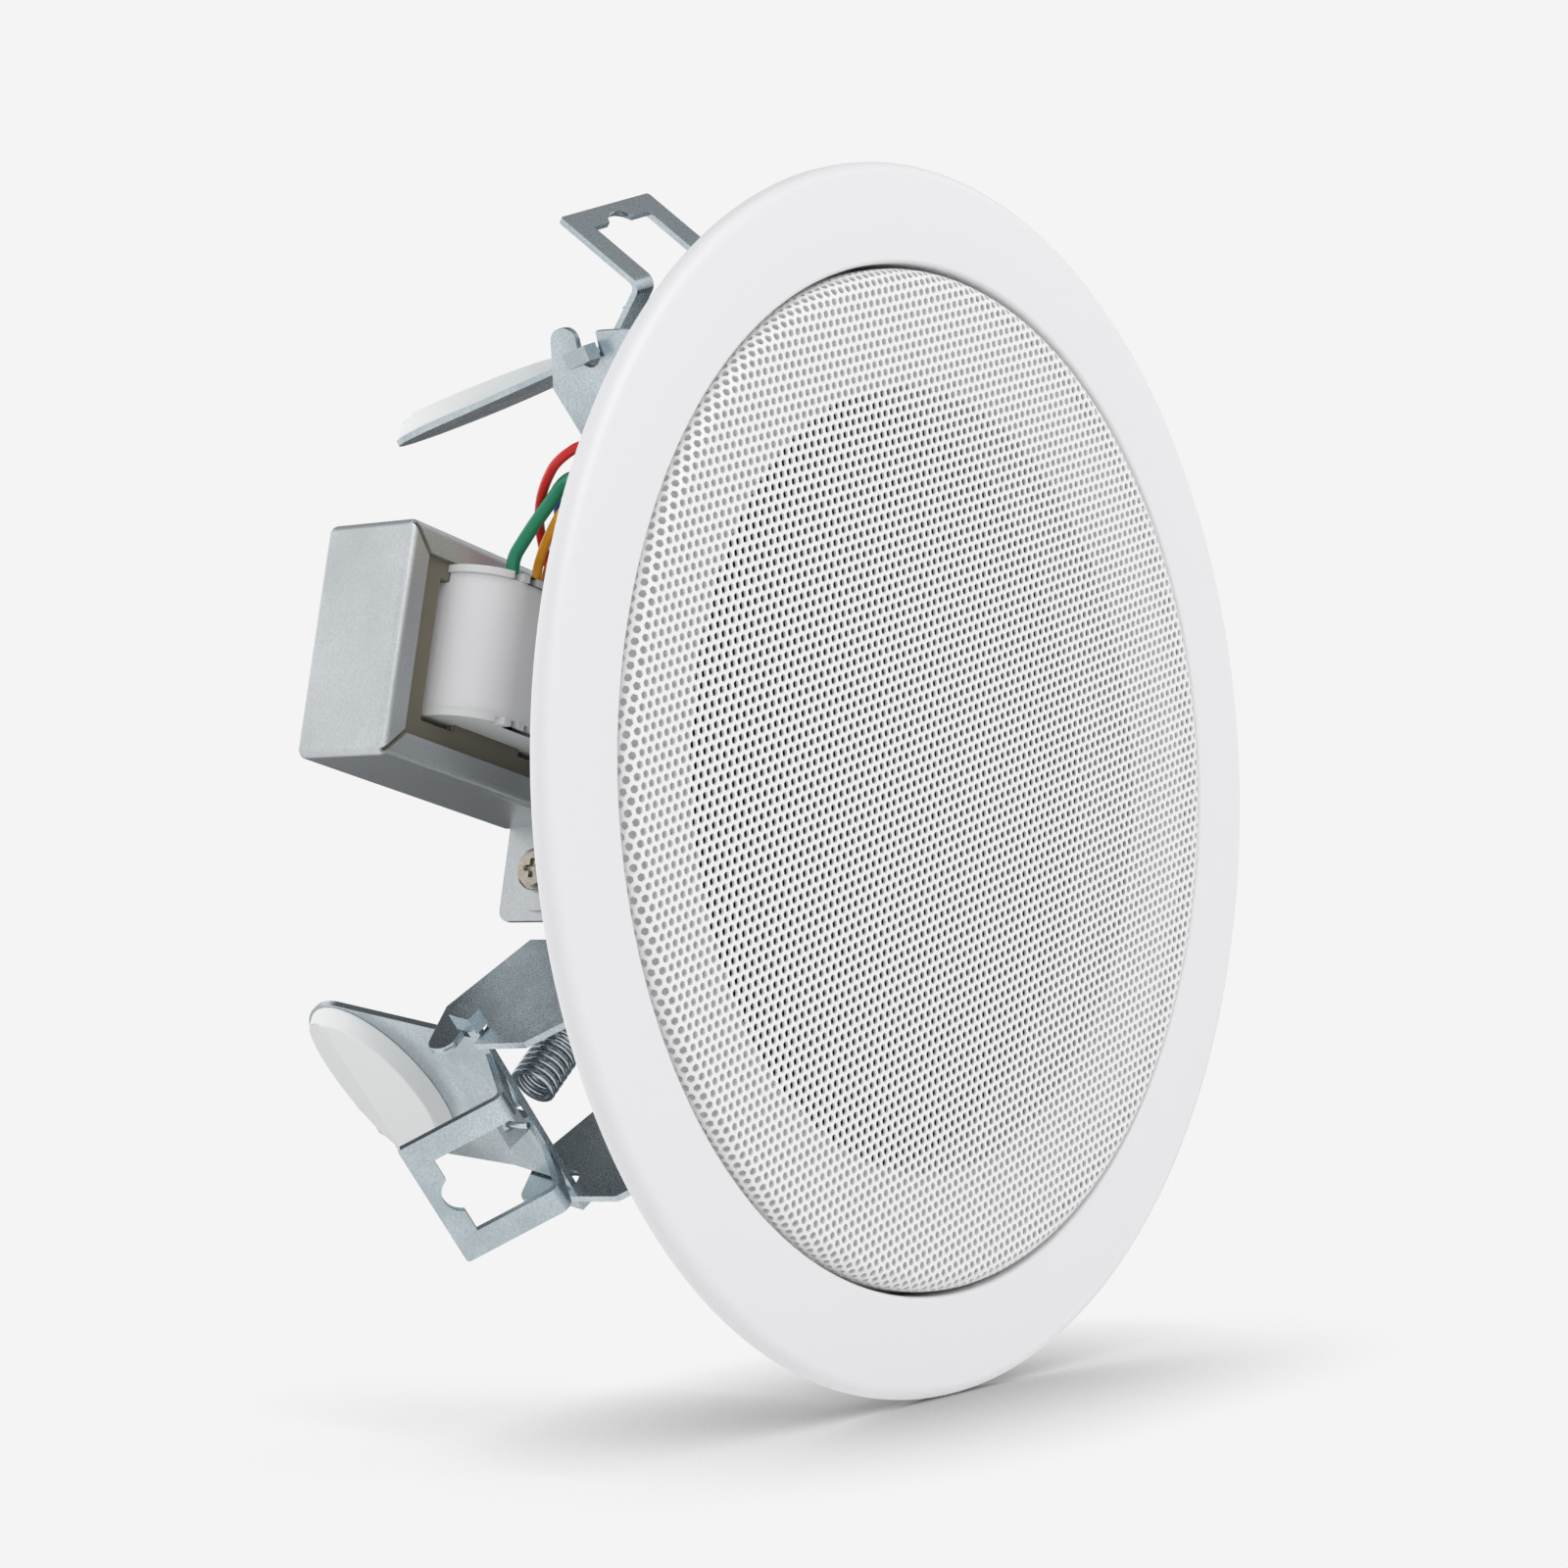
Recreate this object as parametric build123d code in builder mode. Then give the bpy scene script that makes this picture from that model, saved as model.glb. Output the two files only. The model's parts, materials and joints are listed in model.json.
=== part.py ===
"""In-ceiling loudspeaker: white bezel and grille, moving-coil driver, line transformer, sprung clamps.

Millimetres. The speaker's axis is Y: the grille faces -Y and the ceiling void is at +Y.
The origin is on the axis, in the rear face of the flange, which seats on the ceiling. +Z is up.
"""

import os
from math import atan, cos, degrees, radians, sin, tan

from build123d import *

os.makedirs("parts", exist_ok=True)

# Bezel: flange against the ceiling, collar through the cut-out, baffle behind the grille
FLANGE_R = 100.0
FLANGE_THICK = 3.2
FLANGE_EDGE_R = 1.6
LIP_R = 83.6
LIP_EDGE_R = 0.8
COLLAR_WALL = 2.0
BAFFLE_FRONT = 8.0
BAFFLE_THICK = 2.6
OPENING_R = 64.0

# Grille: a drawn cap of perforated sheet that stands in the bezel's recess
GRILLE_SHEET = 0.8
GRILLE_GAP = 0.7
GRILLE_PROUD = 1.3
GRILLE_ROLL_R = 3.0
GRILLE_PITCH = 14.6
GRILLE_HOLE_R = 4.4
GRILLE_RIM = 8.0

# Driver: gasket and basket
GASKET_THICK = 0.8
GASKET_CLEAR = 0.5
BASKET_SHEET = 1.2
BASKET_R = 72.0
BASKET_NECK_R = 56.4
BASKET_FLOOR_R = 31.4
BASKET_FLOOR_Y = 33.2
BASKET_BORE_R = 14.5
LEDGE_R = 25.0
LEDGE_HEIGHT = 3.2
WINDOW_COUNT = 6
WINDOW_R = 44.5
WINDOW_DEEP = 13.0
WINDOW_WIDE = 26.0
WINDOW_CORNER_R = 4.0

# Driver: surround, cone, dust cap, spider and voice coil
SURROUND_SHEET = 0.6
SURROUND_LAND = 6.5
ROLL_WIDE = 10.0
ROLL_HIGH = 4.5
CONE_RIM = 3.5
CONE_RIM_THICK = 0.8
CONE_DEEP = 16.4
CAP_R = 16.2
CAP_HIGH = 7.2
CAP_SHEET = 0.6
GLUE_GAP = 0.1
FORMER_R = 12.9
FORMER_WALL = 0.4
FORMER_LENGTH = 15.0
COIL_THICK = 0.7
COIL_LENGTH = 7.0
SPIDER_SHEET = 0.6
SPIDER_WAVES = 4
SPIDER_WAVE_HIGH = 0.9
SPIDER_LAND = 4.0

# Driver: magnet system
MAGNET_GAP = 0.6
TOP_PLATE_R = 27.0
TOP_PLATE_THICK = 4.0
MAGNET_R = 30.0
MAGNET_BORE_R = 17.0
MAGNET_THICK = 10.0
YOKE_THICK = 4.0

# Clamps: three sprung arms in folded brackets
CLAMP_CLOCK = -16.5
CLAMP_SPREAD = 123.5
CLAMP_ANGLES = (CLAMP_CLOCK, CLAMP_CLOCK + CLAMP_SPREAD, CLAMP_CLOCK - CLAMP_SPREAD)
HINGE_R = 78.0
HINGE_Y = 37.1
BRACKET_SHEET = 1.2
EAR_INSIDE = 15.8
EAR_FOOT_R = 69.5
BRACKET_IN_R = 57.6
BRACKET_OUT_R = 76.0
NOTCH_R = 2.2
EAR_FRONT = 2.9
EAR_FRONT_DROP = 11.8
EAR_LIP = 3.6
EAR_FINGER = 4.6
EAR_FINGER_LONG = 7.0
FINGER_ROUND = 0.47
EAR_REAR = 8.9
EAR_REAR_IN = 4.9
EAR_INNER_RISE = 1.6
SPRING_TAB_HALF = 5.0
CLAMP_SCREW_R = 67.0
CLAMP_SCREW_SPACING = 16.0

ARM_SHEET = 1.0
ARM_BEND_R = 1.6
PADDLE_LEAN = 13.35
PADDLE_HALF = 15.2
PADDLE_SIDE = 2.5
PADDLE_SHOULDER = 12.0
PADDLE_TIP_R = 16.2
PAD_PLACE = 37.3
WEB_LEAN = -43.4
WEB_LENGTH = 12.5
LOOP_LEAN = 46.2
LOOP_LENGTH = 17.9
LOOP_HALF = 12.0
LOOP_STRIP = 4.5
LOOP_END_STRIP = 3.9
LOOP_NOTCH_R = 3.7
LOOP_NOTCH_DEEP = 2.0
LOOP_CORNER_R = 0.6
LUG_WIDE = 3.2
LUG_HEAD_WIDE = 4.8
LUG_HEAD = 3.0
LUG_HEAD_THICK = 2.6
LUG_CLEAR = 0.5
TONGUE_LEAN = 16.0
TONGUE_LENGTH = 5.6
TONGUE_HALF = 3.5
HOOK_HOLE_PLACE = 3.6
HOOK_HOLE_R = 1.2
HOOK_SLOT = 5.0

PAD_R = 15.8
PAD_TOP_R = 14.2
PAD_THICK = 2.9
PAD_CREASE = 2.7
PAD_TIP_THICK = 1.7

SPRING_OD = 7.6
SPRING_WIRE = 1.1
SPRING_PITCH = 1.5
SPRING_ROOM = 4.4
SPRING_RISE = 1.1
HOOK_REACH = 1.2
HOOK_TAIL = 2.2
HOOK_OVER = 1.6
HOOK_END = 4.6

# Screws
SCREW_R = 1.7
SCREW_HEAD_R = 2.9
SCREW_HEAD_HIGH = 1.8
LARGE_HEAD_R = 3.7
LARGE_HEAD_HIGH = 2.3
SCREW_CLEAR = 0.25
SCREW_TIP = 1.5
RECESS_WIDE = 0.9
RECESS_LONG = 3.2
RECESS_DEEP = 1.0

# Line transformer, its upright plate and its screws; A runs across the axis at this turn, C square to it
TRANSFORMER_CLOCK = -13.5
FRAME_SHEET = 0.8
FRAME_A = -70.0
FRAME_END_GAP = 2.35
FRAME_C = 8.5
FRAME_TALL = 38.8
FRAME_Y = 64.6
FRAME_STACK = 18.9
FRAME_LIP = 4.6
FRAME_BEND_R = 1.5
MITRE_SLIT = 0.8
CORE_LONG = 48.0
CENTRE_LEG = 16.0
SIDE_LEG = 8.0
CORE_YOKE = 6.8
CORE_CLEAR = 0.05
FRAME_LONG = FRAME_SHEET + CORE_CLEAR + CORE_LONG + FRAME_END_GAP
BOBBIN_WALL = 1.0
BOBBIN_FLANGE = 1.2
BOBBIN_OVERHANG = 9.8
BOBBIN_SIDE_GAP = 1.35
BOBBIN_CORNER_R = 9.0
PAPER_TALL = 22.6
PAPER_RISE = 1.9
TOOTH_COUNT = 6
TOOTH_PITCH = 3.2
TOOTH_GAP = 1.6
TOOTH_DEEP = 2.0
WINDING_INSET = 0.6
FOOT_WIDE = 13.8
FOOT_HOLE = 7.6
FOOT_AHEAD = 1.4
PLATE_SHEET = 1.2
PLATE_REAR_Y = 71.8
PLATE_BOTTOM_C = -27.0
PLATE_CORNER_R = 2.0
PLATE_BASE_LONG = 36.0
PLATE_BASE_WIDE = 34.0
PLATE_BASE_C = 4.0
PLATE_SCREW_SPACING = 20.0
PLATE_SCREW_INSET = 19.0
NUT_R = 3.2
NUT_HIGH = 2.4

# Terminal block, tag strip and leads
BLOCK_ANGLE = 134.0
BLOCK_R = 65.0
BLOCK_DEEP = 10.0
BLOCK_WIDE = 17.0
BLOCK_HIGH = 11.0
BLOCK_WAYS = 3
BLOCK_PITCH = 5.0
BLOCK_HOLE_R = 1.5
BLOCK_HOLE_DEEP = 4.0
TAG_ANGLE = 153.0
TAG_R = 63.0
TAG_PITCH = 4.2
TAG_BOARD = (8.0, 12.0, 1.6)
TAG_SIZE = (0.6, 2.6, 5.0)
LEAD_R = 0.8
GREEN_LEAD_R = 1.1

# Places that follow from the driving sizes
FLANGE_FRONT = -FLANGE_THICK
COLLAR_R = LIP_R + COLLAR_WALL
BAFFLE_BACK = BAFFLE_FRONT + BAFFLE_THICK
GRILLE_R = LIP_R - GRILLE_GAP
GRILLE_FRONT = FLANGE_FRONT - GRILLE_PROUD
FRAME_FRONT = BAFFLE_BACK + GASKET_THICK
FRAME_BACK = FRAME_FRONT + BASKET_SHEET
FLOOR_FRONT = BASKET_FLOOR_Y - BASKET_SHEET
LEDGE_Y = FLOOR_FRONT - LEDGE_HEIGHT + BASKET_SHEET
SURROUND_R = OPENING_R - GASKET_CLEAR
ROLL_OUT_R = SURROUND_R - SURROUND_LAND
ROLL_IN_R = ROLL_OUT_R - ROLL_WIDE
CONE_R = ROLL_IN_R + CONE_RIM_THICK
NECK_R = FORMER_R + GLUE_GAP
NECK_Y = FRAME_FRONT + CONE_DEEP
FORMER_IN_R = FORMER_R - FORMER_WALL
POLE_R = FORMER_IN_R - MAGNET_GAP
COIL_OUT_R = FORMER_R + COIL_THICK
TOP_PLATE_BORE_R = COIL_OUT_R + MAGNET_GAP
TOP_PLATE_BACK = BASKET_FLOOR_Y + TOP_PLATE_THICK
MAGNET_BACK = TOP_PLATE_BACK + MAGNET_THICK
YOKE_BACK = MAGNET_BACK + YOKE_THICK
BRACKET_BACK = FRAME_BACK + BRACKET_SHEET
EAR_OUTSIDE = EAR_INSIDE + BRACKET_SHEET
HINGE = Vector(HINGE_R, HINGE_Y)
SPRING_Y = HINGE_Y + SPRING_RISE
SPRING_START_R = BRACKET_IN_R + SPRING_ROOM
SPRING_TURNS = int((HINGE_R - SPRING_ROOM - SPRING_START_R + SPRING_WIRE) / SPRING_PITCH)
SPRING_END_R = SPRING_START_R + SPRING_TURNS * SPRING_PITCH


def across(y):
    """Plane across the axis: local x is right, local y is up, and its normal faces the front."""
    return Plane.XZ.offset(-y)


def clamp_plane(angle):
    """Mid-plane of a clamp: local x is the radius, local y the depth, the normal runs round the rim."""
    turn = radians(angle)
    return Plane(origin=(0, 0, 0), x_dir=(cos(turn), 0, sin(turn)), z_dir=(-sin(turn), 0, cos(turn)))


def along(start, lean, length):
    """Point at a length from start, in a direction that leans from the outward radius to the rear."""
    return start + Vector(cos(radians(lean)), sin(radians(lean))) * length


def panel_plane(mid, start, lean):
    """Plane of a folded panel: local x runs along the panel, and the normal is on its right."""
    run = mid.x_dir * cos(radians(lean)) + mid.y_dir * sin(radians(lean))
    normal = mid.x_dir * sin(radians(lean)) - mid.y_dir * cos(radians(lean))
    return Plane(origin=mid.from_local_coords((start.X, start.Y, 0)), x_dir=run, z_dir=normal)


def polar(angle, radius, side=0.0):
    """Point in a plane across the axis, at an angle and radius, and a distance to the side."""
    turn = radians(angle)
    return (radius * cos(turn) - side * sin(turn), radius * sin(turn) + side * cos(turn))


def finish(piece, name):
    """Label a finished piece and write it."""
    piece.part.label = name
    export_step(piece.part, f"parts/{name}.step")


CLAMP_SCREW_PLACES = [
    polar(angle, CLAMP_SCREW_R, side)
    for angle in CLAMP_ANGLES
    for side in (-CLAMP_SCREW_SPACING / 2, CLAMP_SCREW_SPACING / 2)
]

# Bezel, one moulding
with BuildPart() as bezel:
    with BuildSketch() as section:
        with BuildLine():
            Polyline(
                (OPENING_R, BAFFLE_FRONT),
                (LIP_R, BAFFLE_FRONT),
                (LIP_R, FLANGE_FRONT),
                (FLANGE_R, FLANGE_FRONT),
                (FLANGE_R, 0),
                (COLLAR_R, 0),
                (COLLAR_R, BAFFLE_BACK),
                (OPENING_R, BAFFLE_BACK),
                close=True,
            )
        make_face()
        corners = section.vertices()
        fillet(corners.sort_by_distance((FLANGE_R, FLANGE_FRONT))[0], FLANGE_EDGE_R)
        fillet(corners.sort_by_distance((LIP_R, FLANGE_FRONT))[0], LIP_EDGE_R)
    revolve(axis=Axis.Y)
    with BuildSketch(across(BAFFLE_BACK)):
        with Locations(*CLAMP_SCREW_PLACES):
            Circle(SCREW_R)
    extrude(amount=BAFFLE_THICK, mode=Mode.SUBTRACT)
finish(bezel, "bezel")

# Grille, with a coarse pattern of holes in its flat face
rows = int(GRILLE_R / (GRILLE_PITCH * sin(radians(60)))) + 1
columns = int(GRILLE_R / GRILLE_PITCH) + 1
grille_holes = [
    (GRILLE_PITCH * row * sin(radians(60)), GRILLE_PITCH * (column + (row % 2) / 2))
    for row in range(-rows, rows + 1)
    for column in range(-columns, columns + 1)
]
with BuildPart() as grille:
    with BuildSketch():
        with BuildLine():
            skin_r = GRILLE_R - GRILLE_SHEET / 2
            skin_y = GRILLE_FRONT + GRILLE_SHEET / 2
            FilletPolyline((0, skin_y), (skin_r, skin_y), (skin_r, BAFFLE_FRONT), radius=GRILLE_ROLL_R)
        trace(line_width=GRILLE_SHEET)
    revolve(axis=Axis.Y)
    with BuildSketch(across(GRILLE_FRONT)):
        with Locations(*[place for place in grille_holes if Vector(*place).length < GRILLE_R - GRILLE_RIM]):
            RegularPolygon(GRILLE_HOLE_R, 6)
    extrude(amount=-2 * GRILLE_SHEET, both=True, mode=Mode.SUBTRACT)
finish(grille, "grille")

# Foam gasket between the baffle and the driver's frame
with BuildPart() as gasket:
    with BuildSketch(across(FRAME_FRONT)):
        Circle(BASKET_R)
        Circle(OPENING_R + GASKET_CLEAR, mode=Mode.SUBTRACT)
        with Locations(*CLAMP_SCREW_PLACES):
            Circle(SCREW_R + SCREW_CLEAR, mode=Mode.SUBTRACT)
    extrude(amount=GASKET_THICK)
finish(gasket, "gasket")

# Basket, a pressed steel frame with windows in its wall
wall_slope = (BASKET_FLOOR_Y - FRAME_BACK) / (BASKET_NECK_R - BASKET_FLOOR_R)
wall_shift = BASKET_SHEET / sin(atan(wall_slope))
wall_front_r = BASKET_NECK_R - wall_shift + BASKET_SHEET / wall_slope
ledge_out_r = wall_front_r - (LEDGE_Y - FRAME_FRONT) / wall_slope
with BuildPart() as basket:
    with BuildSketch():
        with BuildLine():
            Polyline(
                (wall_front_r, FRAME_FRONT),
                (BASKET_R, FRAME_FRONT),
                (BASKET_R, FRAME_BACK),
                (BASKET_NECK_R, FRAME_BACK),
                (BASKET_FLOOR_R, BASKET_FLOOR_Y),
                (BASKET_BORE_R, BASKET_FLOOR_Y),
                (BASKET_BORE_R, FLOOR_FRONT),
                (LEDGE_R, FLOOR_FRONT),
                (LEDGE_R, LEDGE_Y),
                (ledge_out_r, LEDGE_Y),
                close=True,
            )
        make_face()
    revolve(axis=Axis.Y)
    with BuildSketch(across(FRAME_BACK)):
        with PolarLocations(WINDOW_R, WINDOW_COUNT, start_angle=TAG_ANGLE - 180 / WINDOW_COUNT):
            RectangleRounded(WINDOW_DEEP, WINDOW_WIDE, WINDOW_CORNER_R)
    extrude(amount=FRAME_BACK - LEDGE_Y, mode=Mode.SUBTRACT)
    with BuildSketch(across(FRAME_FRONT)):
        with Locations(*CLAMP_SCREW_PLACES):
            Circle(SCREW_R + SCREW_CLEAR)
    extrude(amount=-BASKET_SHEET, mode=Mode.SUBTRACT)
finish(basket, "basket")

# Surround: a half roll between the frame's land and the cone's rim
surround_y = FRAME_FRONT - SURROUND_SHEET / 2
with BuildPart() as surround:
    with BuildSketch():
        with BuildLine():
            Line((SURROUND_R, surround_y), (ROLL_OUT_R, surround_y))
            ThreePointArc(
                (ROLL_OUT_R, surround_y),
                ((ROLL_OUT_R + ROLL_IN_R) / 2, surround_y - ROLL_HIGH),
                (ROLL_IN_R, surround_y),
            )
            Line((ROLL_IN_R, surround_y), (ROLL_IN_R - CONE_RIM + CONE_RIM_THICK, surround_y))
        trace(line_width=SURROUND_SHEET)
    revolve(axis=Axis.Y)
finish(surround, "surround")

# Paper cone with a flat rim
cone_turn_r = CONE_R - CONE_RIM
with BuildPart() as cone:
    with BuildSketch():
        with BuildLine():
            Polyline(
                (CONE_R, FRAME_FRONT),
                (CONE_R, FRAME_FRONT + CONE_RIM_THICK),
                (cone_turn_r, FRAME_FRONT + CONE_RIM_THICK),
                (NECK_R, NECK_Y + CONE_RIM_THICK),
                (NECK_R, NECK_Y),
                (cone_turn_r, FRAME_FRONT),
                close=True,
            )
        make_face()
    revolve(axis=Axis.Y)
finish(cone, "cone")

# Dust cap, a shallow dome glued on the cone
cone_slope = CONE_DEEP / (cone_turn_r - NECK_R)
cap_y = FRAME_FRONT + (cone_turn_r - CAP_R) * cone_slope - CAP_SHEET - GLUE_GAP
with BuildPart() as dust_cap:
    with BuildSketch():
        with BuildLine():
            rise = CAP_HIGH / 4
            ThreePointArc((0, cap_y - CAP_HIGH), (CAP_R / 2, cap_y - CAP_HIGH + rise), (CAP_R, cap_y))
        trace(line_width=CAP_SHEET)
        with Locations((-CAP_R, cap_y)):
            Rectangle(2 * CAP_R, 4 * CAP_HIGH, mode=Mode.SUBTRACT)
    revolve(axis=Axis.Y)
finish(dust_cap, "dust_cap")

# Voice coil former and its winding
former_start = NECK_Y - CONE_RIM_THICK
coil_mid = (BASKET_FLOOR_Y + TOP_PLATE_BACK) / 2
with BuildPart() as former:
    with BuildSketch(across(former_start)):
        Circle(FORMER_R)
        Circle(FORMER_IN_R, mode=Mode.SUBTRACT)
    extrude(amount=-FORMER_LENGTH)
finish(former, "voice_coil_former")

with BuildPart() as coil:
    with BuildSketch(across(coil_mid - COIL_LENGTH / 2)):
        Circle(COIL_OUT_R)
        Circle(FORMER_R, mode=Mode.SUBTRACT)
    extrude(amount=-COIL_LENGTH)
finish(coil, "voice_coil")

# Spider: a ring of cloth with rolled waves, from the basket's ledge to the former
spider_y = LEDGE_Y - SPIDER_SHEET / 2
spider_out_r = LEDGE_R + SPIDER_LAND
wave = (LEDGE_R - FORMER_R - GLUE_GAP) / (2 * SPIDER_WAVES)
spider_line = [(spider_out_r, spider_y), (LEDGE_R, spider_y)]
for step in range(1, 2 * SPIDER_WAVES):
    spider_line.append((LEDGE_R - step * wave, spider_y - SPIDER_WAVE_HIGH * (step % 2)))
spider_line.append((LEDGE_R - 2 * SPIDER_WAVES * wave, spider_y))
with BuildPart() as spider:
    with BuildSketch():
        with BuildLine():
            Polyline(*spider_line)
        trace(line_width=SPIDER_SHEET)
        with Locations(((FORMER_R + GLUE_GAP) / 2, spider_y)):
            Rectangle(FORMER_R + GLUE_GAP, 4 * SPIDER_WAVE_HIGH, mode=Mode.SUBTRACT)
    revolve(axis=Axis.Y)
finish(spider, "spider")

# Magnet system: top plate, ferrite ring, and yoke with its pole
with BuildPart() as top_plate:
    with BuildSketch(across(BASKET_FLOOR_Y)):
        Circle(TOP_PLATE_R)
        Circle(TOP_PLATE_BORE_R, mode=Mode.SUBTRACT)
    extrude(amount=-TOP_PLATE_THICK)
finish(top_plate, "top_plate")

with BuildPart() as magnet:
    with BuildSketch(across(TOP_PLATE_BACK)):
        Circle(MAGNET_R)
        Circle(MAGNET_BORE_R, mode=Mode.SUBTRACT)
    extrude(amount=-MAGNET_THICK)
    chamfer(magnet.edges().filter_by(GeomType.CIRCLE).sort_by(SortBy.RADIUS)[-2:], MAGNET_GAP)
finish(magnet, "magnet")

plate_a = FRAME_A + FRAME_LONG
PLATE_SCREW_PLACES = [
    (plate_a + PLATE_SCREW_INSET, PLATE_BASE_C - PLATE_SCREW_SPACING / 2),
    (plate_a + PLATE_SCREW_INSET, PLATE_BASE_C + PLATE_SCREW_SPACING / 2),
]


def turned(y):
    """Plane across the axis with local x along A and local y along C."""
    turn = radians(TRANSFORMER_CLOCK)
    return Plane(origin=(0, y, 0), x_dir=(cos(turn), 0, sin(turn)), z_dir=(0, -1, 0))


def transformer_point(a, c, y):
    """Point of the part from its places along A and C and its depth."""
    return turned(y).from_local_coords((a, c, 0))


with BuildPart() as yoke:
    with BuildSketch(across(YOKE_BACK)):
        Circle(TOP_PLATE_R)
    extrude(amount=YOKE_THICK)
    with BuildSketch(across(MAGNET_BACK)):
        Circle(POLE_R)
    extrude(amount=MAGNET_BACK - BASKET_FLOOR_Y)
    with BuildSketch(turned(YOKE_BACK)):
        with Locations(*PLATE_SCREW_PLACES):
            Circle(SCREW_R)
    extrude(amount=YOKE_THICK, mode=Mode.SUBTRACT)
finish(yoke, "yoke")


def screw(seat, places, length, head_r=SCREW_HEAD_R, head_high=SCREW_HEAD_HIGH):
    """Pan-head screws with cross recesses on a seat plane whose normal points out of the heads."""
    with BuildPart() as screws:
        with BuildSketch(seat):
            with Locations(*places):
                Circle(head_r)
        extrude(amount=head_high)
        heads = screws.faces().filter_by(GeomType.PLANE).sort_by(Axis(seat.origin, seat.z_dir))
        chamfer(heads[-len(places):].edges(), head_high / 3)
        with BuildSketch(seat):
            with Locations(*places):
                Circle(SCREW_R)
        extrude(amount=-length)
        with BuildSketch(seat.offset(head_high)):
            with Locations(*places):
                Rectangle(RECESS_LONG, RECESS_WIDE)
                Rectangle(RECESS_WIDE, RECESS_LONG)
        extrude(amount=-RECESS_DEEP, mode=Mode.SUBTRACT)
    return screws


def rear_facing(plane):
    """The same plane with its normal to the rear; local y is turned over."""
    return Plane(origin=plane.origin, x_dir=plane.x_dir, z_dir=-plane.z_dir)


def turned_over(places):
    return [(x, -y) for x, y in places]


# Clamp brackets: base on the driver's frame, two ears with open notches, and a tab for the spring
def clamp_bracket(angle):
    mid = clamp_plane(angle)
    ear_line = [
        (BRACKET_IN_R, FRAME_BACK),
        (EAR_FOOT_R, FRAME_BACK),
        (HINGE_R + EAR_FRONT, HINGE_Y - EAR_FRONT_DROP),
        (HINGE_R + EAR_LIP, HINGE_Y),
        (HINGE_R + EAR_FINGER, HINGE_Y),
        (HINGE_R + EAR_FINGER, HINGE_Y + EAR_FINGER_LONG),
        (HINGE_R - EAR_REAR_IN, HINGE_Y + EAR_REAR),
        (BRACKET_IN_R, HINGE_Y + EAR_INNER_RISE),
    ]
    with BuildPart() as bracket:
        with BuildSketch(mid.offset(-EAR_OUTSIDE)) as ear:
            with BuildLine():
                Polyline(*ear_line, close=True)
            make_face()
            with Locations((HINGE_R, HINGE_Y)):
                Circle(NOTCH_R, mode=Mode.SUBTRACT)
            with Locations((HINGE_R + 2 * NOTCH_R, HINGE_Y)):
                Rectangle(4 * NOTCH_R, 2 * NOTCH_R, mode=Mode.SUBTRACT)
            for depth in (NOTCH_R, EAR_FINGER_LONG):
                corner = Vector(HINGE_R + EAR_FINGER, HINGE_Y + depth, 0)
                fillet(ear.vertices().sort_by_distance(corner)[0], FINGER_ROUND * (EAR_FINGER_LONG - NOTCH_R))
        extrude(amount=BRACKET_SHEET)
        mirror(about=mid)
        with BuildSketch(mid):
            with Locations(((BRACKET_IN_R + BRACKET_OUT_R) / 2, FRAME_BACK + BRACKET_SHEET / 2)):
                Rectangle(BRACKET_OUT_R - BRACKET_IN_R, BRACKET_SHEET)
        extrude(amount=EAR_INSIDE, both=True)
        with BuildSketch(mid):
            tab_high = SPRING_Y + 2 * HOOK_HOLE_R - FRAME_BACK
            with Locations((BRACKET_IN_R + BRACKET_SHEET / 2, FRAME_BACK + tab_high / 2)):
                Rectangle(BRACKET_SHEET, tab_high)
        extrude(amount=SPRING_TAB_HALF, both=True)
        with BuildSketch(panel_plane(mid, Vector(BRACKET_IN_R, SPRING_Y), 90)):
            Circle(HOOK_HOLE_R)
        extrude(amount=2 * BRACKET_SHEET, both=True, mode=Mode.SUBTRACT)
        with BuildSketch(across(FRAME_BACK)):
            with Locations(*CLAMP_SCREW_PLACES):
                Circle(SCREW_R + SCREW_CLEAR)
        extrude(amount=-BRACKET_SHEET, mode=Mode.SUBTRACT)
    return bracket


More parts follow.
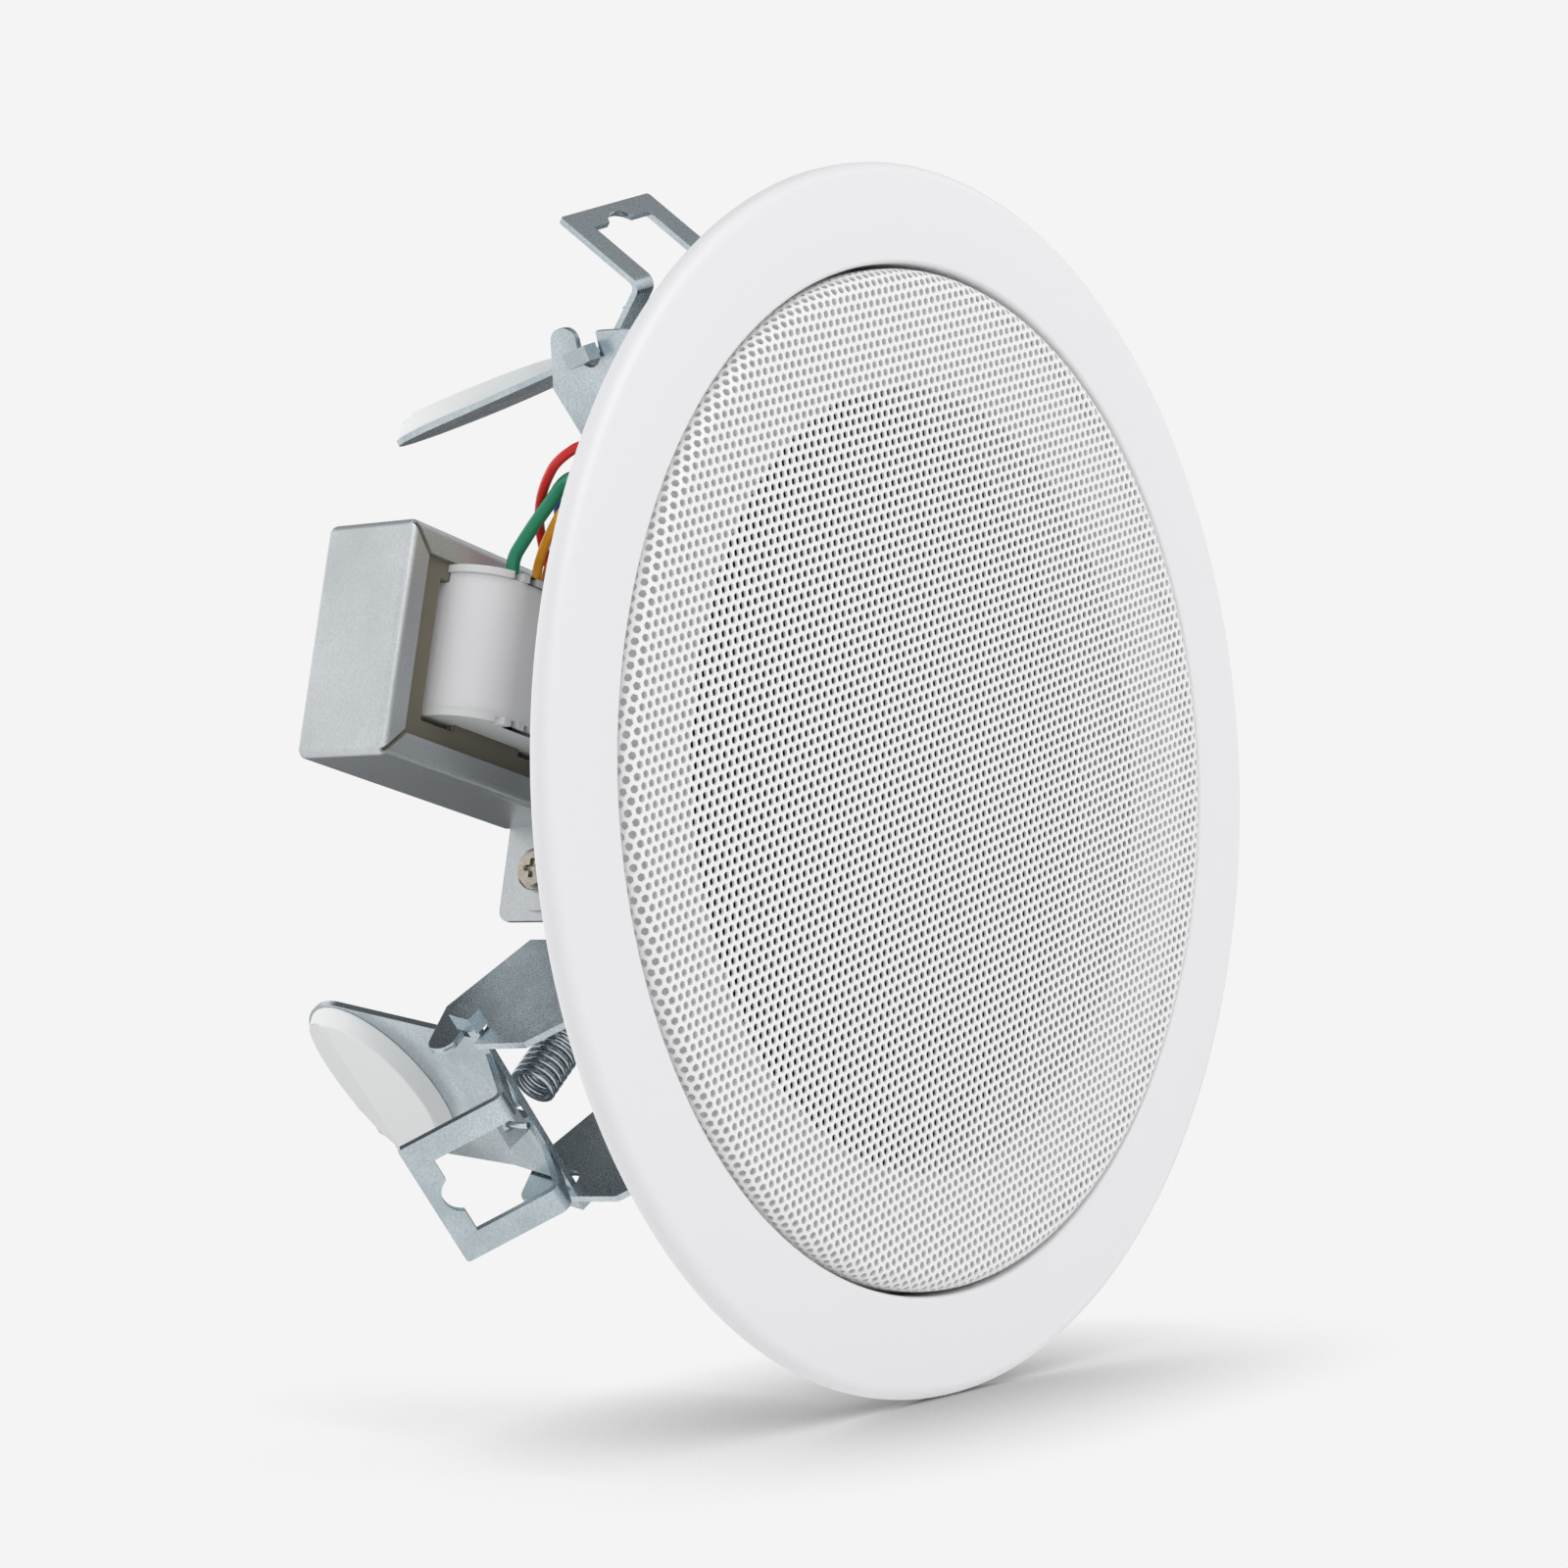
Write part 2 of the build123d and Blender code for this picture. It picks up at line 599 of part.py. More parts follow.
# Clamp arms, each one folded sheet: paddle, hinge lugs, web, and the loop that trips the clamp
def clamp_arm(angle):
    mid = clamp_plane(angle)
    web_end = along(HINGE, WEB_LEAN, WEB_LENGTH)
    loop_end = along(web_end, LOOP_LEAN, LOOP_LENGTH)
    paddle = panel_plane(mid, HINGE, 90 + PADDLE_LEAN)
    web = panel_plane(mid, HINGE, WEB_LEAN)
    loop = panel_plane(mid, web_end, LOOP_LEAN)
    tongue = panel_plane(mid, HINGE, TONGUE_LEAN)
    window_half = LOOP_HALF - LOOP_STRIP
    window_end = LOOP_LENGTH - LOOP_END_STRIP
    head_place = EAR_OUTSIDE + LUG_CLEAR + LUG_HEAD / 2
    with BuildPart() as arm:
        with BuildSketch(mid):
            with BuildLine():
                FilletPolyline(HINGE, web_end, loop_end, radius=ARM_BEND_R)
            trace(line_width=ARM_SHEET)
        extrude(amount=LOOP_HALF, both=True)
        fillet(arm.edges().filter_by(Axis(loop.origin, loop.z_dir)).sort_by(
            Axis(loop.origin, loop.x_dir))[-2:], LOOP_CORNER_R)
        with BuildSketch(loop):
            with Locations(((window_end - WEB_LENGTH) / 2, 0)):
                Rectangle(window_end + WEB_LENGTH, 2 * window_half)
            with Locations((window_end - LOOP_NOTCH_R + LOOP_NOTCH_DEEP, 0)):
                Circle(LOOP_NOTCH_R)
        extrude(amount=ARM_BEND_R, both=True, mode=Mode.SUBTRACT)
        with BuildSketch(web):
            with Locations((WEB_LENGTH / 2 + ARM_SHEET, 0)):
                Rectangle(WEB_LENGTH, 2 * window_half)
        extrude(amount=ARM_SHEET, both=True, mode=Mode.SUBTRACT)
        with BuildSketch(paddle):
            with BuildLine():
                Polyline(
                    (0, -PADDLE_HALF),
                    (PAD_PLACE, PADDLE_SIDE - PADDLE_TIP_R),
                    (PAD_PLACE, PADDLE_SIDE + PADDLE_TIP_R),
                    (PADDLE_SHOULDER, PADDLE_HALF),
                    (0, PADDLE_HALF),
                    close=True,
                )
            make_face()
            with Locations((PAD_PLACE, PADDLE_SIDE)):
                Circle(PADDLE_TIP_R)
            Rectangle(LUG_WIDE, 2 * head_place)
        extrude(amount=ARM_SHEET / 2, both=True)
        with BuildSketch(paddle):
            with Locations((0, -head_place), (0, head_place)):
                Rectangle(LUG_HEAD_WIDE, LUG_HEAD)
        extrude(amount=LUG_HEAD_THICK / 2, both=True)
        with BuildSketch(mid):
            with Locations((HINGE_R, HINGE_Y)):
                Circle(ARM_SHEET / 2)
        extrude(amount=PADDLE_HALF, both=True)
        with BuildSketch(tongue):
            with Locations((TONGUE_LENGTH / 2, 0)):
                Rectangle(TONGUE_LENGTH, 2 * TONGUE_HALF)
            with Locations((HOOK_HOLE_PLACE, 0)):
                Circle(HOOK_HOLE_R, mode=Mode.SUBTRACT)
        extrude(amount=ARM_SHEET / 2, both=True)
        with BuildSketch(paddle):
            with Locations((HOOK_SLOT / 2 - ARM_SHEET, 0)):
                Rectangle(HOOK_SLOT, 2 * HOOK_HOLE_R)
        extrude(amount=ARM_SHEET, both=True, mode=Mode.SUBTRACT)
    return arm


# Clamp pads: tapered discs on the paddles, with a sloping facet towards the tip
def clamp_pad(angle):
    paddle = panel_plane(clamp_plane(angle), HINGE, 90 + PADDLE_LEAN)
    seat = paddle.offset(ARM_SHEET / 2)
    side = Plane(origin=seat.origin, x_dir=seat.x_dir, z_dir=-seat.y_dir)
    crease = PAD_PLACE + PAD_CREASE
    tip = PAD_PLACE + PAD_R
    with BuildPart() as pad:
        with BuildSketch(seat):
            with Locations((PAD_PLACE, PADDLE_SIDE)):
                Circle(PAD_R)
        extrude(amount=PAD_THICK, taper=degrees(atan((PAD_R - PAD_TOP_R) / PAD_THICK)))
        with BuildSketch(side):
            with BuildLine():
                Polyline((crease, PAD_THICK), (tip, PAD_TIP_THICK), (tip, PAD_THICK), close=True)
            make_face()
        extrude(amount=PAD_R + PADDLE_SIDE, both=True, mode=Mode.SUBTRACT)
    return pad


# Extension springs: coils as a ringed sleeve, with a hook at each end
def clamp_spring(angle):
    mid = clamp_plane(angle)
    outer = SPRING_OD / 2
    inner = outer - SPRING_WIRE
    hook = along(HINGE, TONGUE_LEAN, HOOK_HOLE_PLACE)
    wall_y = SPRING_Y + (outer + inner) / 2
    over_y = hook.Y + HOOK_OVER
    rings = [(SPRING_START_R, SPRING_Y + inner), (SPRING_START_R, SPRING_Y + outer - SPRING_WIRE / 2)]
    for turn in range(SPRING_TURNS):
        start = SPRING_START_R + turn * SPRING_PITCH
        rings.append((start + SPRING_PITCH / 2, SPRING_Y + outer))
        rings.append((start + SPRING_PITCH, SPRING_Y + outer - SPRING_WIRE / 2))
    rings.append((SPRING_END_R, SPRING_Y + inner))
    inner_hook = [
        (SPRING_START_R + SPRING_WIRE, wall_y),
        (SPRING_START_R - HOOK_OVER, SPRING_Y + SPRING_WIRE / 2),
        (BRACKET_IN_R - HOOK_REACH, SPRING_Y + SPRING_WIRE / 4),
        (BRACKET_IN_R - HOOK_OVER, SPRING_Y - HOOK_TAIL),
    ]
    outer_hook = [
        (SPRING_END_R - SPRING_WIRE, wall_y),
        (SPRING_END_R + HOOK_TAIL, over_y),
        (hook.X, over_y),
        (hook.X + SPRING_WIRE / 4, hook.Y - HOOK_END),
    ]
    with BuildPart() as spring:
        with BuildSketch(mid):
            with BuildLine():
                Polyline(*rings, close=True)
            make_face()
        revolve(axis=Axis(mid.from_local_coords((0, SPRING_Y, 0)), mid.x_dir))
        for hook_points in (inner_hook, outer_hook):
            with BuildLine(mid) as hook_line:
                FilletPolyline(*hook_points, radius=SPRING_WIRE)
            with BuildSketch(Plane(origin=hook_line.line @ 0, z_dir=hook_line.line % 0)):
                Circle(SPRING_WIRE / 2)
            sweep(path=hook_line.line)
    return spring


for number, angle in enumerate(CLAMP_ANGLES, start=1):
    finish(clamp_bracket(angle), f"clamp_bracket_{number}")
    finish(clamp_arm(angle), f"clamp_arm_{number}")
    finish(clamp_pad(angle), f"clamp_pad_{number}")
    finish(clamp_spring(angle), f"clamp_spring_{number}")

clamp_screws = screw(
    rear_facing(across(BRACKET_BACK)),
    turned_over(CLAMP_SCREW_PLACES),
    BRACKET_BACK - BAFFLE_FRONT + SCREW_TIP,
)
finish(clamp_screws, "clamp_screws")

# Upright plate that carries the transformer, folded from its base on the yoke
plate_top_c = 2 * FRAME_C - PLATE_BOTTOM_C
FOOT_PLACES = [(FRAME_C - FRAME_TALL / 2 - FOOT_HOLE), (FRAME_C + FRAME_TALL / 2 + FOOT_HOLE)]


def upright(a):
    """Plane square to A, facing the transformer: local x is C, and local y is the depth."""
    origin = transformer_point(a, 0, 0)
    level = turned(0)
    return Plane(origin=origin, x_dir=level.y_dir, z_dir=-level.x_dir)


FOOT_Y = FRAME_Y - FOOT_AHEAD
depth_sign = 1 if upright(0).y_dir.Y > 0 else -1
foot_spots = [(c, depth_sign * FOOT_Y) for c in FOOT_PLACES]
with BuildPart() as plate:
    with BuildSketch(upright(plate_a)) as standing:
        with BuildLine():
            Polyline(
                (PLATE_BOTTOM_C, depth_sign * YOKE_BACK),
                (plate_top_c, depth_sign * YOKE_BACK),
                (plate_top_c, depth_sign * PLATE_REAR_Y),
                (PLATE_BOTTOM_C, depth_sign * PLATE_REAR_Y),
                close=True,
            )
        make_face()
        fillet(standing.vertices().sort_by(Axis.Y)[-2:], PLATE_CORNER_R)
        with Locations(*foot_spots):
            Circle(SCREW_R + SCREW_CLEAR, mode=Mode.SUBTRACT)
    extrude(amount=-PLATE_SHEET)
    with BuildSketch(turned(YOKE_BACK)):
        with Locations((plate_a + PLATE_BASE_LONG / 2, PLATE_BASE_C)):
            Rectangle(PLATE_BASE_LONG, PLATE_BASE_WIDE)
        with Locations(*PLATE_SCREW_PLACES):
            Circle(SCREW_R + SCREW_CLEAR, mode=Mode.SUBTRACT)
    extrude(amount=-PLATE_SHEET)
finish(plate, "transformer_plate")

plate_screws = screw(
    rear_facing(turned(YOKE_BACK + PLATE_SHEET)), turned_over(PLATE_SCREW_PLACES), PLATE_SHEET + YOKE_THICK
)
finish(plate_screws, "plate_screws")

# Transformer frame: a lipped steel channel round three sides of the core, with mitred corners and two feet
front_y = FRAME_Y - FRAME_STACK / 2
rear_y = FRAME_Y + FRAME_STACK / 2
core_a = FRAME_A + FRAME_SHEET + CORE_CLEAR + CORE_LONG / 2
core_tall = FRAME_TALL - 2 * FRAME_SHEET - 2 * CORE_CLEAR
core_stack = FRAME_STACK - 2 * FRAME_SHEET - 2 * CORE_CLEAR
with BuildPart() as frame:
    with BuildSketch(turned(front_y)):
        with Locations((FRAME_A + FRAME_LONG / 2, FRAME_C)):
            Rectangle(FRAME_LONG, FRAME_TALL)
    extrude(amount=-FRAME_STACK)
    level = turned(front_y)
    fillet(frame.edges().sort_by(Axis(level.origin, level.x_dir))[:-4], FRAME_BEND_R)
    with BuildSketch(turned(front_y + FRAME_SHEET)):
        with Locations((FRAME_A + FRAME_SHEET + FRAME_LONG / 2, FRAME_C)):
            Rectangle(FRAME_LONG, FRAME_TALL - 2 * FRAME_SHEET)
    extrude(amount=-FRAME_STACK + 2 * FRAME_SHEET, mode=Mode.SUBTRACT)
    with BuildSketch(turned(front_y)):
        with Locations((FRAME_A + FRAME_LIP + FRAME_LONG / 2, FRAME_C)):
            Rectangle(FRAME_LONG, FRAME_TALL - 2 * FRAME_LIP)
    extrude(amount=-FRAME_STACK, mode=Mode.SUBTRACT)
    with BuildSketch(turned(front_y), turned(rear_y - FRAME_SHEET)):
        for side in (-1, 1):
            corner_c = FRAME_C + side * (FRAME_TALL / 2 - FRAME_LIP / 2)
            with Locations(Location((FRAME_A + FRAME_LIP / 2, corner_c, 0), (0, 0, -45 * side))):
                Rectangle(2 * FRAME_LIP, MITRE_SLIT)
    extrude(amount=-FRAME_SHEET, mode=Mode.SUBTRACT)
    with BuildSketch(upright(plate_a)):
        with Locations(*foot_spots):
            Circle(FOOT_WIDE / 2)
        with Locations(*[((c + FRAME_C + side * FRAME_TALL / 2) / 2, depth_sign * FOOT_Y)
                         for side, c in zip((-1, 1), FOOT_PLACES)]):
            Rectangle(FOOT_HOLE + 2 * FRAME_SHEET, FOOT_WIDE)
        with Locations(*foot_spots):
            Circle(SCREW_R + SCREW_CLEAR, mode=Mode.SUBTRACT)
    extrude(amount=FRAME_SHEET)
finish(frame, "transformer_frame")

# Laminated core with its centre leg along C
core_front = front_y + FRAME_SHEET + CORE_CLEAR
window_wide = (CORE_LONG - CENTRE_LEG) / 2 - SIDE_LEG
window_tall = core_tall - 2 * CORE_YOKE
window_a = (CENTRE_LEG + window_wide) / 2
with BuildPart() as core:
    with BuildSketch(turned(core_front)):
        with Locations((core_a, FRAME_C)):
            Rectangle(CORE_LONG, core_tall)
        with Locations((core_a - window_a, FRAME_C), (core_a + window_a, FRAME_C)):
            Rectangle(window_wide, window_tall, mode=Mode.SUBTRACT)
    extrude(amount=-core_stack)
finish(core, "transformer_core")


def square_to_c(c):
    """Plane square to C: local x is A, and the normal points along C."""
    level = turned(0)
    return Plane(origin=transformer_point(core_a, c, FRAME_Y), x_dir=level.x_dir, z_dir=level.y_dir)


# Bobbin on the centre leg, and the paper-wrapped winding between its flanges
leg_wide = CENTRE_LEG + 2 * CORE_CLEAR
leg_deep = core_stack + 2 * CORE_CLEAR
flange_wide = CENTRE_LEG + 2 * window_wide - 2 * BOBBIN_SIDE_GAP
flange_deep = core_stack + 2 * BOBBIN_OVERHANG
paper_low = FRAME_C - PAPER_TALL / 2 + PAPER_RISE
paper_top = paper_low + PAPER_TALL
window_top = FRAME_C + window_tall / 2 - CORE_CLEAR
tooth_places = [
    (TOOTH_PITCH * (tooth - (TOOTH_COUNT - 1) / 2), side * flange_deep / 2)
    for tooth in range(TOOTH_COUNT)
    for side in (-1, 1)
]
with BuildPart() as bobbin:
    for flange_c in (paper_low - BOBBIN_FLANGE, paper_top):
        with BuildSketch(square_to_c(flange_c)):
            RectangleRounded(flange_wide, flange_deep, BOBBIN_CORNER_R)
            with Locations(*tooth_places):
                Rectangle(TOOTH_GAP, 2 * TOOTH_DEEP, mode=Mode.SUBTRACT)
        extrude(amount=BOBBIN_FLANGE)
    with BuildSketch(square_to_c(paper_low)):
        Rectangle(leg_wide + 2 * BOBBIN_WALL, leg_deep + 2 * BOBBIN_WALL)
    extrude(amount=PAPER_TALL)
    with BuildSketch(square_to_c(paper_low - BOBBIN_FLANGE)):
        Rectangle(leg_wide, leg_deep)
    extrude(amount=PAPER_TALL + 2 * BOBBIN_FLANGE, mode=Mode.SUBTRACT)
    with BuildSketch(square_to_c(window_top)):
        Rectangle(CORE_LONG, leg_deep)
    extrude(amount=CORE_YOKE, mode=Mode.SUBTRACT)
finish(bobbin, "bobbin")

with BuildPart() as winding:
    with BuildSketch(square_to_c(paper_low)):
        RectangleRounded(flange_wide - 2 * WINDING_INSET, flange_deep - 2 * WINDING_INSET, BOBBIN_CORNER_R)
        Rectangle(leg_wide + 2 * BOBBIN_WALL, leg_deep + 2 * BOBBIN_WALL, mode=Mode.SUBTRACT)
    extrude(amount=PAPER_TALL)
    with BuildSketch(square_to_c(window_top)):
        Rectangle(CORE_LONG, leg_deep)
    extrude(amount=CORE_YOKE, mode=Mode.SUBTRACT)
finish(winding, "winding")

# Screws and nuts that hold the transformer's feet to the upright plate
frame_screws = screw(
    upright(plate_a - FRAME_SHEET),
    foot_spots,
    FRAME_SHEET + PLATE_SHEET + NUT_HIGH,
    LARGE_HEAD_R,
    LARGE_HEAD_HIGH,
)
finish(frame_screws, "transformer_screws")

with BuildPart() as nuts:
    with BuildSketch(upright(plate_a + PLATE_SHEET)):
        with Locations(*foot_spots):
            RegularPolygon(NUT_R, 6)
            Circle(SCREW_R, mode=Mode.SUBTRACT)
    extrude(amount=-NUT_HIGH)
finish(nuts, "transformer_nuts")


# Terminal block for the line, on the driver's frame
def block_plane(y, angle):
    """Plane across the axis at a turn: local x is the radius, and the normal faces the rear."""
    turn = radians(angle)
    return Plane(origin=(0, y, 0), x_dir=(cos(turn), 0, sin(turn)), z_dir=(0, 1, 0))


way_sides = [BLOCK_PITCH * (way - (BLOCK_WAYS - 1) / 2) for way in range(BLOCK_WAYS)]
block_back = FRAME_BACK + BLOCK_HIGH
inner_face = clamp_plane(BLOCK_ANGLE)
screw_seat = panel_plane(inner_face, Vector(BLOCK_R - BLOCK_DEEP / 2, FRAME_BACK + BLOCK_HIGH / 2), 90)
screw_seat = Plane(origin=screw_seat.origin, x_dir=screw_seat.x_dir, z_dir=-screw_seat.z_dir)
with BuildPart() as block:
    with BuildSketch(block_plane(FRAME_BACK, BLOCK_ANGLE)):
        with Locations((BLOCK_R, 0)):
            RectangleRounded(BLOCK_DEEP, BLOCK_WIDE, BLOCK_HOLE_R)
    extrude(amount=BLOCK_HIGH)
    with BuildSketch(block_plane(block_back, BLOCK_ANGLE)):
        with Locations(*[(BLOCK_R, side) for side in way_sides]):
            Circle(BLOCK_HOLE_R)
    extrude(amount=-BLOCK_HOLE_DEEP, mode=Mode.SUBTRACT)
    with BuildSketch(screw_seat):
        with Locations(*[(0, side) for side in way_sides]):
            Circle(BLOCK_HOLE_R)
    extrude(amount=-BLOCK_DEEP / 4, mode=Mode.SUBTRACT)
finish(block, "terminal_block")

with BuildPart() as block_screws:
    with BuildSketch(screw_seat.offset(-BLOCK_DEEP / 4)):
        with Locations(*[(0, side) for side in way_sides]):
            Circle(BLOCK_HOLE_R - SCREW_CLEAR)
    extrude(amount=BLOCK_DEEP / 8)
    with BuildSketch(screw_seat.offset(-BLOCK_DEEP / 8)):
        with Locations(*[(0, side) for side in way_sides]):
            Rectangle(2 * BLOCK_HOLE_R, RECESS_WIDE / 2)
    extrude(amount=-RECESS_WIDE / 2, mode=Mode.SUBTRACT)
finish(block_screws, "terminal_screws")

# Tag strip on the driver's frame, with two solder tags for the voice coil
with BuildPart() as tag_strip:
    with BuildSketch(block_plane(FRAME_BACK, TAG_ANGLE)):
        with Locations((TAG_R, 0)):
            Rectangle(TAG_BOARD[0], TAG_BOARD[1])
    extrude(amount=TAG_BOARD[2])
finish(tag_strip, "tag_strip")

with BuildPart() as tags:
    with BuildSketch(block_plane(FRAME_BACK + TAG_BOARD[2], TAG_ANGLE)):
        with Locations((TAG_R, -TAG_PITCH / 2), (TAG_R, TAG_PITCH / 2)):
            Rectangle(TAG_SIZE[0], TAG_SIZE[1])
    extrude(amount=TAG_SIZE[2])
finish(tags, "solder_tags")

# Leads from the bobbin: places along A and C, and depth
lead_start_c = paper_top + BOBBIN_FLANGE
LEADS = {
    "lead_red": (LEAD_R, [
        (-43.6, lead_start_c, 48.6), (-43.6, 26.2, 48.6), (-45.5, 29.2, 49.0), (-48.3, 32.1, 48.0),
        (-50.6, 33.6, 46.4), (-53.6, 35.3, 43.8), (-56.2, 37.0, 40.8), (-59.2, 38.8, 36.6),
        (-58.8, 41.9, 31.4), (-53.8, 40.6, 27.8), (-52.1, 39.1, 23.2),
    ]),
    "lead_green": (GREEN_LEAD_R, [
        (-53.4, lead_start_c, 48.0), (-53.4, 25.6, 48.0), (-53.3, 30.1, 45.2), (-54.0, 34.4, 41.0),
        (-56.0, 37.0, 36.8), (-58.2, 36.0, 31.0), (-58.4, 32.6, 26.6), (-57.5, 30.7, 23.2),
    ]),
    "lead_blue": (LEAD_R, [
        (-41.2, lead_start_c, 48.0), (-41.2, 26.4, 48.0), (-43.6, 31.5, 47.4), (-48.0, 35.5, 44.8),
        (-52.2, 36.9, 42.4), (-53.3, 38.0, 38.6), (-55.2, 38.2, 30.6), (-55.2, 36.4, 26.4),
        (-54.8, 34.9, 23.2),
    ]),
    "lead_yellow_1": (LEAD_R, [
        (-47.4, lead_start_c, 48.0), (-47.4, 25.6, 48.0), (-49.6, 28.6, 45.2), (-52.6, 32.0, 40.4),
        (-56.6, 32.8, 34.8), (-59.6, 28.0, 29.0), (-60.6, 20.6, 24.6), (-60.6, 17.6, 19.9),
    ]),
    "lead_yellow_2": (LEAD_R, [
        (-45.2, lead_start_c, 47.8), (-45.2, 25.2, 47.8), (-48.4, 26.3, 44.1), (-52.0, 29.0, 39.0),
        (-56.8, 29.4, 33.6), (-60.1, 24.2, 28.5), (-61.8, 16.8, 24.4), (-61.4, 13.4, 19.9),
    ]),
}


def lead_path(points):
    """Runs joined by tangent arcs, each as large as its two runs allow."""
    corners = [transformer_point(*point) for point in points]
    radii = []
    for before, here, after in zip(corners, corners[1:], corners[2:]):
        run_in = here - before
        run_out = after - here
        half_turn = radians(run_in.get_angle(run_out)) / 2
        radii.append(0.45 * min(run_in.length, run_out.length) / tan(half_turn))
    print("lead radii", [round(radius, 1) for radius in radii])
    return corners, radii


for name, (radius, points) in LEADS.items():
    corners, radii = lead_path(points)
    with BuildPart() as lead:
        with BuildLine() as route:
            FilletPolyline(*corners, radius=radii)
        with BuildSketch(Plane(origin=route.line @ 0, z_dir=route.line % 0)):
            Circle(radius)
        sweep(path=route.line)
    print(name, "length", round(sum(edge.length for edge in route.edges()), 1))
    finish(lead, name)
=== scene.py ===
# %% [markdown]
# # An in-ceiling speaker, dressed for the render
# The speaker's solids come from its CAD source. This script loads them as a frame, models finer versions
# of the pieces that are seen, gives every piece the finish of its real material, and sets a plain studio
# round it. The speaker stands as it was photographed: its axis is level along Y, the grille faces -Y,
# and Z is up.

import json
import math

import bpy
from mathutils import Matrix, Vector

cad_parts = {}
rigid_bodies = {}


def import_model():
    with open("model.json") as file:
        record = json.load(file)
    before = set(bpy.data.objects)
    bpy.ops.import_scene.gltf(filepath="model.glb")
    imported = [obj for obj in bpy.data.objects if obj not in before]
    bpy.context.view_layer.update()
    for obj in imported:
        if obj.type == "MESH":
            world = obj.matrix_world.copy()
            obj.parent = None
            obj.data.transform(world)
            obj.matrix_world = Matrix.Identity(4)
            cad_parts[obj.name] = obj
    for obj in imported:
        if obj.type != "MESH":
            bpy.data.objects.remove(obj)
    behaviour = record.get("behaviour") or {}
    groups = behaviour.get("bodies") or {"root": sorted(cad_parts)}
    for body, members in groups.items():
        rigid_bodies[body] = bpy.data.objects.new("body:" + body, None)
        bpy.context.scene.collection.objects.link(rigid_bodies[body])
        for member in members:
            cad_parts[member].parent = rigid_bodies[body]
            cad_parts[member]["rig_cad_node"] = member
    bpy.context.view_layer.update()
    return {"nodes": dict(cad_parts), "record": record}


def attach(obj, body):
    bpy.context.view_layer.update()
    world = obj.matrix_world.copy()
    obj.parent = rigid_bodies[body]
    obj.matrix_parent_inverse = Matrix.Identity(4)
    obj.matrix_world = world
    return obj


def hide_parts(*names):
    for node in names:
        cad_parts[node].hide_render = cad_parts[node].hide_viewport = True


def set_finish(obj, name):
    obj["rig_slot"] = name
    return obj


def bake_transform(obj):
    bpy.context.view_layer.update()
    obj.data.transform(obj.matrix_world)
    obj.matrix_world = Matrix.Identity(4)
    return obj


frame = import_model()
nodes = frame["nodes"]
groups = frame["record"]["behaviour"]["bodies"]
body_of = {node: body for body, members in groups.items() for node in members}
slot_of = {part["node"]: part["material_slot"] for part in frame["record"]["subparts"]}
MM = 0.001

# %% [markdown]
# ## Small helpers
# Operators act on whatever is selected, so each step first clears the selection and picks its own piece.
# A turned piece starts as one vertex that is extruded from point to point along its outline and then spun
# round the speaker's axis, just as a potter's template sweeps out a bowl.


# %% Selecting, modifiers and shading
def pick(*pieces):
    """Select only these pieces; the last one is active."""
    if bpy.context.mode != "OBJECT":
        bpy.ops.object.mode_set(mode="OBJECT")
    bpy.ops.object.select_all(action="DESELECT")
    for piece in pieces:
        piece.select_set(True)
        bpy.context.view_layer.objects.active = piece


def apply_modifier(piece, kind, **settings):
    """Add a modifier with its settings and apply it."""
    pick(piece)
    modifier = piece.modifiers.new(kind.lower(), kind)
    for name, value in settings.items():
        setattr(modifier, name, value)
    bpy.ops.object.modifier_apply(modifier=modifier.name)


def smooth(piece, degrees=35):
    """Shade curved faces smooth and keep the real edges crisp."""
    pick(piece)
    bpy.ops.object.shade_smooth_by_angle(angle=math.radians(degrees))


print("helpers for picking and shading ready")


# %% Lathe work
# Points closer than these are one point: in metres, on a spun piece and on a copied solid or the grille.
SPIN_GAP, MERGE_GAP = 1e-6, 2e-6


def rounded(corner_in, corner, corner_out, radius, steps=6):
    """Points of an arc that rounds a corner of an outline, in millimetres."""
    here = Vector(corner)
    arm_in = (Vector(corner_in) - here).normalized()
    arm_out = (Vector(corner_out) - here).normalized()
    half = arm_in.angle(arm_out) / 2
    middle = here + (arm_in + arm_out).normalized() * radius / math.sin(half)
    start = here + arm_in * radius / math.tan(half) - middle
    end = here + arm_out * radius / math.tan(half) - middle
    sweep = start.angle_signed(end)
    return [middle + Matrix.Rotation(-sweep * step / steps, 2) @ start for step in range(steps + 1)]


def lathe(name, outline, steps=192, turn=math.tau):
    """Spin a closed outline of (radius, depth) points in millimetres round the speaker's axis."""
    pick()
    bpy.ops.mesh.primitive_plane_add(size=MM)
    piece = bpy.context.active_object
    piece.name = name
    bpy.ops.object.mode_set(mode="EDIT")
    bpy.ops.mesh.select_all(action="SELECT")
    bpy.ops.mesh.merge(type="CENTER")
    points = [Vector((r * MM, y * MM, 0)) for r, y in outline]
    bpy.ops.transform.translate(value=points[0])
    for before, here in zip(points, points[1:]):
        bpy.ops.mesh.extrude_region_move(TRANSFORM_OT_translate={"value": here - before})
    bpy.ops.mesh.extrude_region_move(TRANSFORM_OT_translate={"value": points[0] - points[-1]})
    bpy.ops.mesh.select_all(action="SELECT")
    bpy.ops.mesh.remove_doubles(threshold=SPIN_GAP)
    if turn < math.tau:
        bpy.ops.mesh.edge_face_add()
    bpy.ops.mesh.spin(steps=steps, angle=turn, center=(0, 0, 0), axis=(0, 1, 0))
    bpy.ops.mesh.select_all(action="SELECT")
    bpy.ops.mesh.remove_doubles(threshold=SPIN_GAP)
    bpy.ops.mesh.normals_make_consistent(inside=False)
    bpy.ops.object.mode_set(mode="OBJECT")
    return piece


print("lathe ready")


